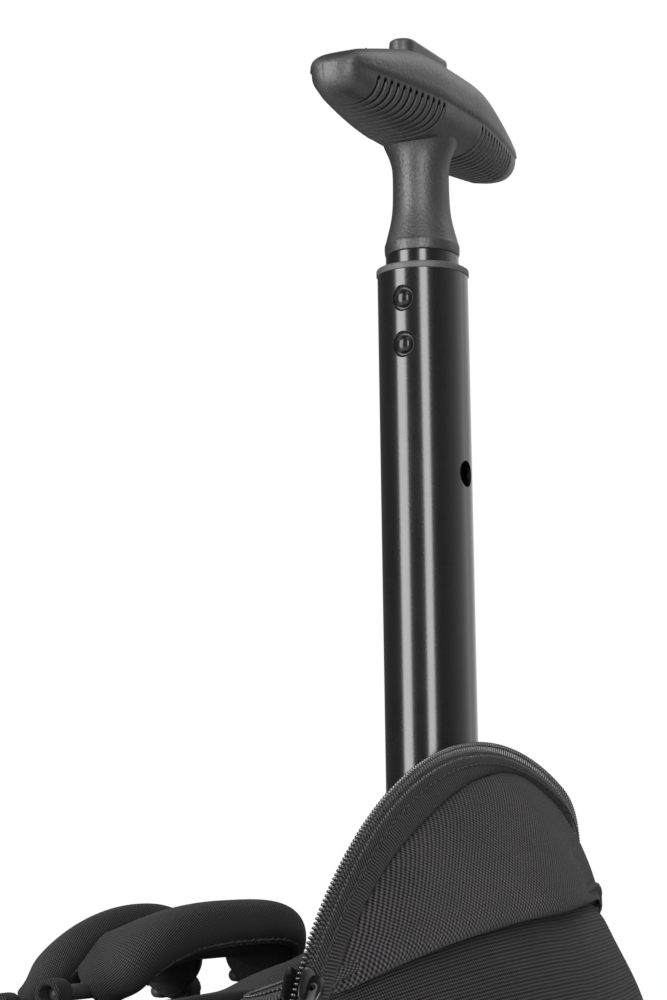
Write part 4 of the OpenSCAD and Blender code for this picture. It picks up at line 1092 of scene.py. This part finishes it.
def build_grip(sizes):
    count = sizes.rib_count
    first, last = 15.0, HALF_L - 13
    pitch = (last - first) / count
    blunt = 13.3

    def nose(a):
        t = max(0.0, (a - (HALF_L - blunt)) / blunt)
        return max(0.0, 1 - t ** 2.8) ** (1 / 2.8)

    def belly(a):
        return 1 if a < 14 else max(0, 1 - ((a - 14) / (HALF_L - 24)) ** 1.4)

    def crest(a):
        return PART_Z + (GRIP_TOP - 0.1455 * (a - 27 + math.hypot(a - 27, 6)) - PART_Z) * nose(a)

    def keel(a):
        return PART_Z - (PART_Z - GRIP_LOW - 3 * (a / HALF_L) ** 2) * nose(a)

    def groove(a):
        if a < first or a > last:
            return 0.0
        t = abs(((a - first) / pitch) % 1.0 - 0.5)
        depth = 2.1 * (1 - smooth01(0.12, 0.24, t)) - 0.12 * smooth01(0.3, 0.5, t)
        return depth * smooth01(0, 2, min(a - first, last - a) + 1.6)

    xs = []
    x = 0.0
    while x < first:
        xs.append(x)
        x += 1.4
    for k in range(count * 16):
        xs.append(first + k * pitch / 16)
    xs += [last] + [HALF_L - d for d in (5, 4, 3, 2.2, 1.5, 0.9, 0.45, 0.2, 0.08, 0.02)]
    stations = [-x for x in reversed(xs[1:])] + xs
    rows = []
    for x in stations:
        a = abs(x)
        e = nose(a)
        w = (11.3 + 7.6 * belly(a)) * e
        zt, zk, g = crest(a), keel(a), groove(a)
        half = []
        for i in range(31):
            t = math.pi / 2 * (i / 30) ** 1.25
            half.append((w * math.sin(t) ** 0.65, PART_Z + (zt - PART_Z) * max(0.0, math.cos(t)) ** 0.65))
        half[-1] = (w + 0.18 * e, PART_Z)
        lip = 0.5 * e
        half.append((max(0.02, w - lip), PART_Z - 0.3))
        for i in range(1, 33):
            t = math.pi / 2 * i / 32
            cut = g * smooth01(0.15, 0.25, t)
            y = max(0.0, (w - lip - cut) * max(0.0, math.cos(t)) ** 0.75)
            half.append((y, PART_Z - 0.35 - (PART_Z - 0.35 - zk - cut) * math.sin(t) ** 0.9))
        ring = [(x, POLE_Y + y, z) for y, z in half] + [(x, POLE_Y - y, z) for y, z in reversed(half[1:-1])]
        rows.append(ring + [ring[0]])
    bar = surface("grip_bar", rows, caps=True)
    outward(bar)
    # painted shade mask: full in the finger grooves below the parting line
    painted_groove_shade = bar.data.attributes.new("painted_groove_shade", "FLOAT", "POINT")
    for k, vert in enumerate(bar.data.vertices):
        cut = min(1.0, max(0.0, groove(abs(vert.co.x) / MM) / 0.9))
        painted_groove_shade.data[k].value = cut * smooth01(0.8, 2.2, PART_Z - vert.co.z / MM)
    finish_piece(bar, "grained_grip", "pole_inner", ["grip_rear_shell", "grip_front_shell"])

    # stem: lipped foot, waist, and a saddle that runs up into the sides of the bar
    line = [(648.0, 2.3, 2.3), (648.25, 2.75, 2.75), (649.0, 3.0, 3.0), (651.6, 3.1, 3.1), (652.3, 3.0, 3.0),
            (652.8, 2.7, 2.7), (654.6, 2.3, 2.3), (657, 1.7, 1.7), (659.5, 1.1, 1.1), (662.5, 0.5, 0.5),
            (666, 0.12, 0.12), (670, 0, 0), (676, 0, 0), (680, 0.05, 0.1), (682.5, 0.25, 0.4), (684.5, 0.7, 1.0),
            (686.2, 1.2, 1.5), (687.8, 2.0, 2.2), (689.2, 3.0, 2.8), (691, 4.4, 3.4), (693.2, 6, 3.9),
            (696, 7.5, 4.3), (699, 8.5, 4.5)]
    rows = []
    for z, ex, ey in line:
        fl = TUBE_FLAT * max(0, 1 - (z - STEM_Z) / 40.8)
        rows.append(oval(STEM_R + ex, STEM_R + ey, fl, z))
    stem = surface("grip_stem", rows, caps=True)
    outward(stem)
    round_off(stem)
    finish_piece(stem, "grained_grip", "pole_inner")

    # mould flash over both noses, and the runner's pip
    for sgn in (1, -1):
        side = [HALF_L - blunt * 0.62 + blunt * 0.62 * math.sin(math.pi / 2 * k / 14) for k in range(15)]
        path = [(sgn * (a + 0.02), POLE_Y - 2.6, crest(a) - 0.25) for a in side[5:]]
        path += [(sgn * (a + 0.02), POLE_Y - 2.6, keel(a) + 0.25) for a in reversed(side[3:-1])]
        seam = swept("mould_flash_%s" % ("right" if sgn > 0 else "left"), path,
                lambda i: circle(0.2 if 1 < i < 18 else 0.06, 6))
        finish_piece(seam, "matte_collar", "pole_inner")
    pip_v, pip_f = [], []
    ball(pip_v, pip_f, (43, POLE_Y, crest(43) + 0.2), ((0.6, 0, 0), (0, 0.6, 0), (0, 0, 0.9)), 8, 6)
    pip = mesh_object("mould_pip", pip_v, pip_f)
    finish_piece(pip, "grained_grip", "pole_inner")

    # flat-topped release button
    rows = []
    for z, inn in ((BUTTON_LOW, 0.6), (BUTTON_LOW + 0.4, 0.1), (BUTTON_LOW + 1, 0), (BUTTON_TOP - 1.6, 0),
            (BUTTON_TOP - 0.9, 0.1), (BUTTON_TOP - 0.35, 0.4), (BUTTON_TOP - 0.08, 0.9), (BUTTON_TOP, 1.6),
            (BUTTON_TOP, 4.0)):
        r, l = 5.0 - inn * 0.8, 13.2
        rows.append(oval(r, r, l, z, 56))
    button = surface("button_cap", rows, caps=True)
    outward(button)
    finish_piece(button, "grained_grip", "release_button", ["release_button"])


# ---------------------------------------------------------------- sliders and hard parts

def join(verts, faces, rows):
    """Adds a capped sheet of rows to a point list"""
    points, quads, _ = grid(rows, caps=True)
    base = len(verts)
    verts += points
    faces += [tuple(i + base for i in q) for q in quads]


def build_sliders():
    for node, body, sgn, park in (("rear_zip_slider_right", "rear_slider_right", 1, PARK),
            ("rear_zip_slider_left", "rear_slider_left", -1, PARK_LEFT + math.radians(3.0))):
        o = Vector((sgn * math.sin(park), 0, math.cos(park)))
        t = Vector((math.cos(park) * sgn, 0, -math.sin(park)))
        f = Vector((0, 1, 0))
        c = Vector((0, RIM_Y + 0.8, ARCH_Z)) + o * (HALF_W + 0.6)
        verts, faces = [], []
        for lift, thick in ((3.0, 1.5), (-2.6, 1.0)):
            rows = []
            for i in range(17):
                s = -1 + 2 * i / 16
                half = 5.4 * math.sqrt(max(0.02, 1 - abs(s) ** 3)) * (1.0 - 0.16 * s)
                row = []
                for k in range(17):
                    q = 2 * math.pi * k / 16
                    rise = lift + thick * math.sqrt(max(0.05, 1 - s * s * 0.8)) * math.sin(q)
                    row.append(tuple(c + t * s * 6.6 + o * half * math.cos(q) + f * rise))
                rows.append(row)
            join(verts, faces, rows)
        ball(verts, faces, c + t * 4.6 + f * 0.2, (o * 1.6, f * 3.0, t * 1.6), 10, 6)
        turns = [math.pi * k / 14 for k in range(15)]
        hoop = [c + t * (3.6 * math.cos(q)) + f * (4.2 + 2.9 * math.sin(q)) for q in turns]
        wire = tube_rows([tuple(p) for p in hoop], lambda i: [(x * 1.5, y * 0.8) for x, y in circle(1.0, 10)],
                up=tuple(o))
        join(verts, faces, [r + [r[0]] for r in wire])
        piece = mesh_object("slider_%s" % ("right" if sgn > 0 else "left"), verts, faces)
        outward(piece)
        finish_piece(piece, "slider_enamel", body, [node])


def build_collar():
    """The middle tube's collar with its bushing, and the dark heads of its two snap nubs"""
    line = [(13.0, 592.5), (14.4, 592.5), (14.6, 593.5), (14.6, 640.45), (16.2, 640.5), (16.4, 640.7), (16.4, 642.3),
            (16.25, 642.75), (15.9, 643.0), (13.6, 643.0), (13.15, 642.8), (13.0, 642.3), (13.0, 592.5)]
    collar = surface("collar", [oval(r, r, TUBE_FLAT, z) for r, z in line])
    outward(collar)
    finish_piece(collar, "matte_collar", "pole_middle", ["mid_tube_collar"], smooth=False)
    verts, faces = [], []
    for z in (629.5, 612.5):
        ball(verts, faces, (16.55, POLE_Y, z), ((0, 3.45, 0), (0, 0, 3.45), (2.0, 0, 0)), 28, 14)
    nubs = mesh_object("snap_nubs", verts, faces)
    outward(nubs)
    finish_piece(nubs, "slider_enamel", "pole_middle")


HARD = {
    "glossy_coat": ["base_tube", "mid_tube", "inner_tube"],
    "matte_collar": ["base_tube_bushing"],
    "moulded_black": ["base_tray", "wheel_housing_right", "wheel_housing_left", "frame_board", "base_tube_socket",
            "base_tube_saddles", "mid_lock_plug", "inner_lock_plug", "wheel_right_hub", "wheel_left_hub",
            "front_feet"],
    "tyre_rubber": ["wheel_right_tyre", "wheel_left_tyre"],
    "pull_rubber": ["rear_zip_pull_right", "rear_zip_pull_left", "main_zip_pull", "pocket_zip_pull"],
    "slider_enamel": ["main_zip_slider", "pocket_zip_slider"],
    "brushed_steel": ["wheel_axles", "saddle_rivets", "wheel_right_bearings", "wheel_left_bearings", "mid_lock_bolt",
            "inner_lock_bolt", "push_rod", "button_spring", "mid_bolt_spring", "grip_screws"],
}


def finish_hard_parts():
    for mat, names in HARD.items():
        for n in names:
            me = NODES[n].data
            me.materials.clear()
            me.materials.append(MATS[mat])


# ---------------------------------------------------------------- stage

def build_stage(s):
    scene = bpy.context.scene
    scene.view_settings.view_transform = "Standard"
    cam = bpy.data.cameras.new("photo_camera")
    cam.lens, cam.sensor_width, cam.sensor_fit = s.lens, 36.0, "AUTO"
    cam.clip_start, cam.clip_end = 0.01, 50
    obj = bpy.data.objects.new("photo_camera", cam)
    bpy.context.collection.objects.link(obj)
    cy, sy, cp, sp = math.cos(s.turn), math.sin(s.turn), math.cos(s.pitch), math.sin(s.pitch)
    f = Vector((-cy * cp, -sy * cp, sp))
    r = Vector((-sy, cy, 0))
    u = r.cross(f)
    c, d = math.cos(s.roll), math.sin(s.roll)
    rr, uu = r * c - u * d, r * d + u * c
    m = Matrix((rr, uu, -f)).transposed().to_4x4()
    m.translation = Vector(s.place)
    obj.matrix_world = m
    scene.camera = obj

    floor = mesh_object("floor", [(-4000, -4000, 0), (4000, -4000, 0), (4000, 4000, 0), (-4000, 4000, 0)],
            [(0, 1, 2, 3)])
    mat = bpy.data.materials.new("pale_floor")
    mat.use_nodes = True
    b = mat.node_tree.nodes["Principled BSDF"]
    b.inputs["Base Color"].default_value = (0.86, 0.86, 0.86, 1)
    b.inputs["Roughness"].default_value = 0.7
    floor.data.materials.append(mat)
    floor.is_shadow_catcher = True

    # the camera sees white; reflections see a white room with a dim side in front of the case
    world = bpy.data.worlds.new("white_studio")
    scene.world = world
    world.use_nodes = True
    w = Tree(world.node_tree)
    bg = world.node_tree.nodes["Background"]
    bg.inputs["Color"].default_value = (1, 1, 1, 1)
    path = w.node("ShaderNodeLightPath")
    x, y, z = w.split(w.node("ShaderNodeTexCoord").outputs["Generated"])
    right = w.sub(w.mul(y, 0.884), w.mul(x, 0.467))
    away = w.add(w.mul(x, -0.884), w.mul(y, -0.467))
    room = w.add(0.04, w.mul(w.remap(right, 0.0, 0.3), w.remap(away, -0.95, 0.4, 0.03, 0.8)))
    seen = w.math("MAXIMUM", path.outputs["Is Camera Ray"], path.outputs["Is Transmission Ray"])
    seen = w.math("MAXIMUM", seen, w.mul(path.outputs["Is Glossy Ray"], room))
    w.link(w.math("MAXIMUM", seen, 0.10), bg.inputs["Strength"])

    def lamp(name, place, aim, size, power):
        l = bpy.data.lights.new(name, "AREA")
        l.shape = "RECTANGLE"
        l.size, l.size_y = size
        l.energy = power * s.light
        o = bpy.data.objects.new(name, l)
        bpy.context.collection.objects.link(o)
        o.location = place
        o.rotation_euler = (Vector(aim) - Vector(place)).to_track_quat("-Z", "Y").to_euler()
    lamp("left_strip", (1.36, -0.76, 0.85), (0, 0.05, 0.55), (0.74, 1.7), 38)
    lamp("middle_strip", (1.58, 1.05, 0.95), (0, 0.05, 0.55), (0.62, 1.6), 32)
    lamp("top_box", (0.5, 0.5, 2.0), (0, 0.0, 0.4), (1.2, 1.2), 6)
    lamp("front_fill", (0.2, -1.6, 2.3), (0, 0, 0.35), (1.6, 1.2), 5)
    lamp("far_fill", (-1.4, 0.9, 2.2), (0, 0, 0.35), (1.4, 1.2), 7)


# ---------------------------------------------------------------- operators and panel

class CASE_OT_finishes(bpy.types.Operator):
    """Makes the materials and finishes the moulded and metal parts"""
    bl_idname = "rollcase.finishes"
    bl_label = "Finishes"

    def execute(self, context):
        make_materials(context.scene.case_sizes, context.scene.case_colours)
        finish_hard_parts()
        return {"FINISHED"}


class CASE_OT_stage(bpy.types.Operator):
    """Sets the camera, the lamps and the pale floor"""
    bl_idname = "rollcase.stage"
    bl_label = "Stage"

    def execute(self, context):
        build_stage(context.scene.case_studio)
        return {"FINISHED"}


class CASE_OT_rear(bpy.types.Operator):
    """Sews the rear panel, the crescent pad and the arched zip"""
    bl_idname = "rollcase.rear"
    bl_label = "Rear compartment"

    def execute(self, context):
        build_rear(context.scene.case_sizes)
        return {"FINISHED"}


class CASE_OT_hood(bpy.types.Operator):
    """Folds the hood down and lays its half of the zip"""
    bl_idname = "rollcase.hood"
    bl_label = "Hood"

    def execute(self, context):
        build_hood(context.scene.case_sizes)
        return {"FINISHED"}


class CASE_OT_handles(bpy.types.Operator):
    """Pads and stitches the carry handles"""
    bl_idname = "rollcase.handles"
    bl_label = "Carry handles"

    def execute(self, context):
        build_handles()
        return {"FINISHED"}


class CASE_OT_body(bpy.types.Operator):
    """Sews the body, the lid, the pocket and the lining"""
    bl_idname = "rollcase.body"
    bl_label = "Body"

    def execute(self, context):
        build_body(context.scene.case_sizes)
        return {"FINISHED"}


class CASE_OT_grip(bpy.types.Operator):
    """Moulds the ribbed grip, its stem, the button and the collar"""
    bl_idname = "rollcase.grip"
    bl_label = "Grip"

    def execute(self, context):
        build_grip(context.scene.case_sizes)
        build_collar()
        return {"FINISHED"}


class CASE_OT_sliders(bpy.types.Operator):
    """Casts the arched zip's sliders"""
    bl_idname = "rollcase.sliders"
    bl_label = "Zip sliders"

    def execute(self, context):
        build_sliders()
        return {"FINISHED"}


class CASE_PT_panel(bpy.types.Panel):
    """Lists the case's building steps"""
    bl_idname = "CASE_PT_panel"
    bl_label = "Rolling case"
    bl_space_type = "VIEW_3D"
    bl_region_type = "UI"
    bl_category = "Rolling case"

    def draw(self, context):
        for o in STEPS:
            self.layout.operator(o.bl_idname)


STEPS = [CASE_OT_finishes, CASE_OT_stage, CASE_OT_rear, CASE_OT_hood, CASE_OT_handles, CASE_OT_body, CASE_OT_grip,
        CASE_OT_sliders]
CLASSES = [CaseSizes, CaseColours, StudioSettings] + STEPS + [CASE_PT_panel]


def register():
    for c in CLASSES:
        bpy.utils.register_class(c)
    bpy.types.Scene.case_sizes = PointerProperty(type=CaseSizes)
    bpy.types.Scene.case_colours = PointerProperty(type=CaseColours)
    bpy.types.Scene.case_studio = PointerProperty(type=StudioSettings)


def unregister():
    del bpy.types.Scene.case_sizes, bpy.types.Scene.case_colours, bpy.types.Scene.case_studio
    for c in reversed(CLASSES):
        bpy.utils.unregister_class(c)


def main():
    register()
    bpy.ops.rollcase.finishes()
    bpy.ops.rollcase.stage()
    bpy.ops.rollcase.rear()
    bpy.ops.rollcase.hood()
    bpy.ops.rollcase.handles()
    bpy.ops.rollcase.body()
    bpy.ops.rollcase.grip()
    bpy.ops.rollcase.sliders()


if __name__ == "__main__":
    main()
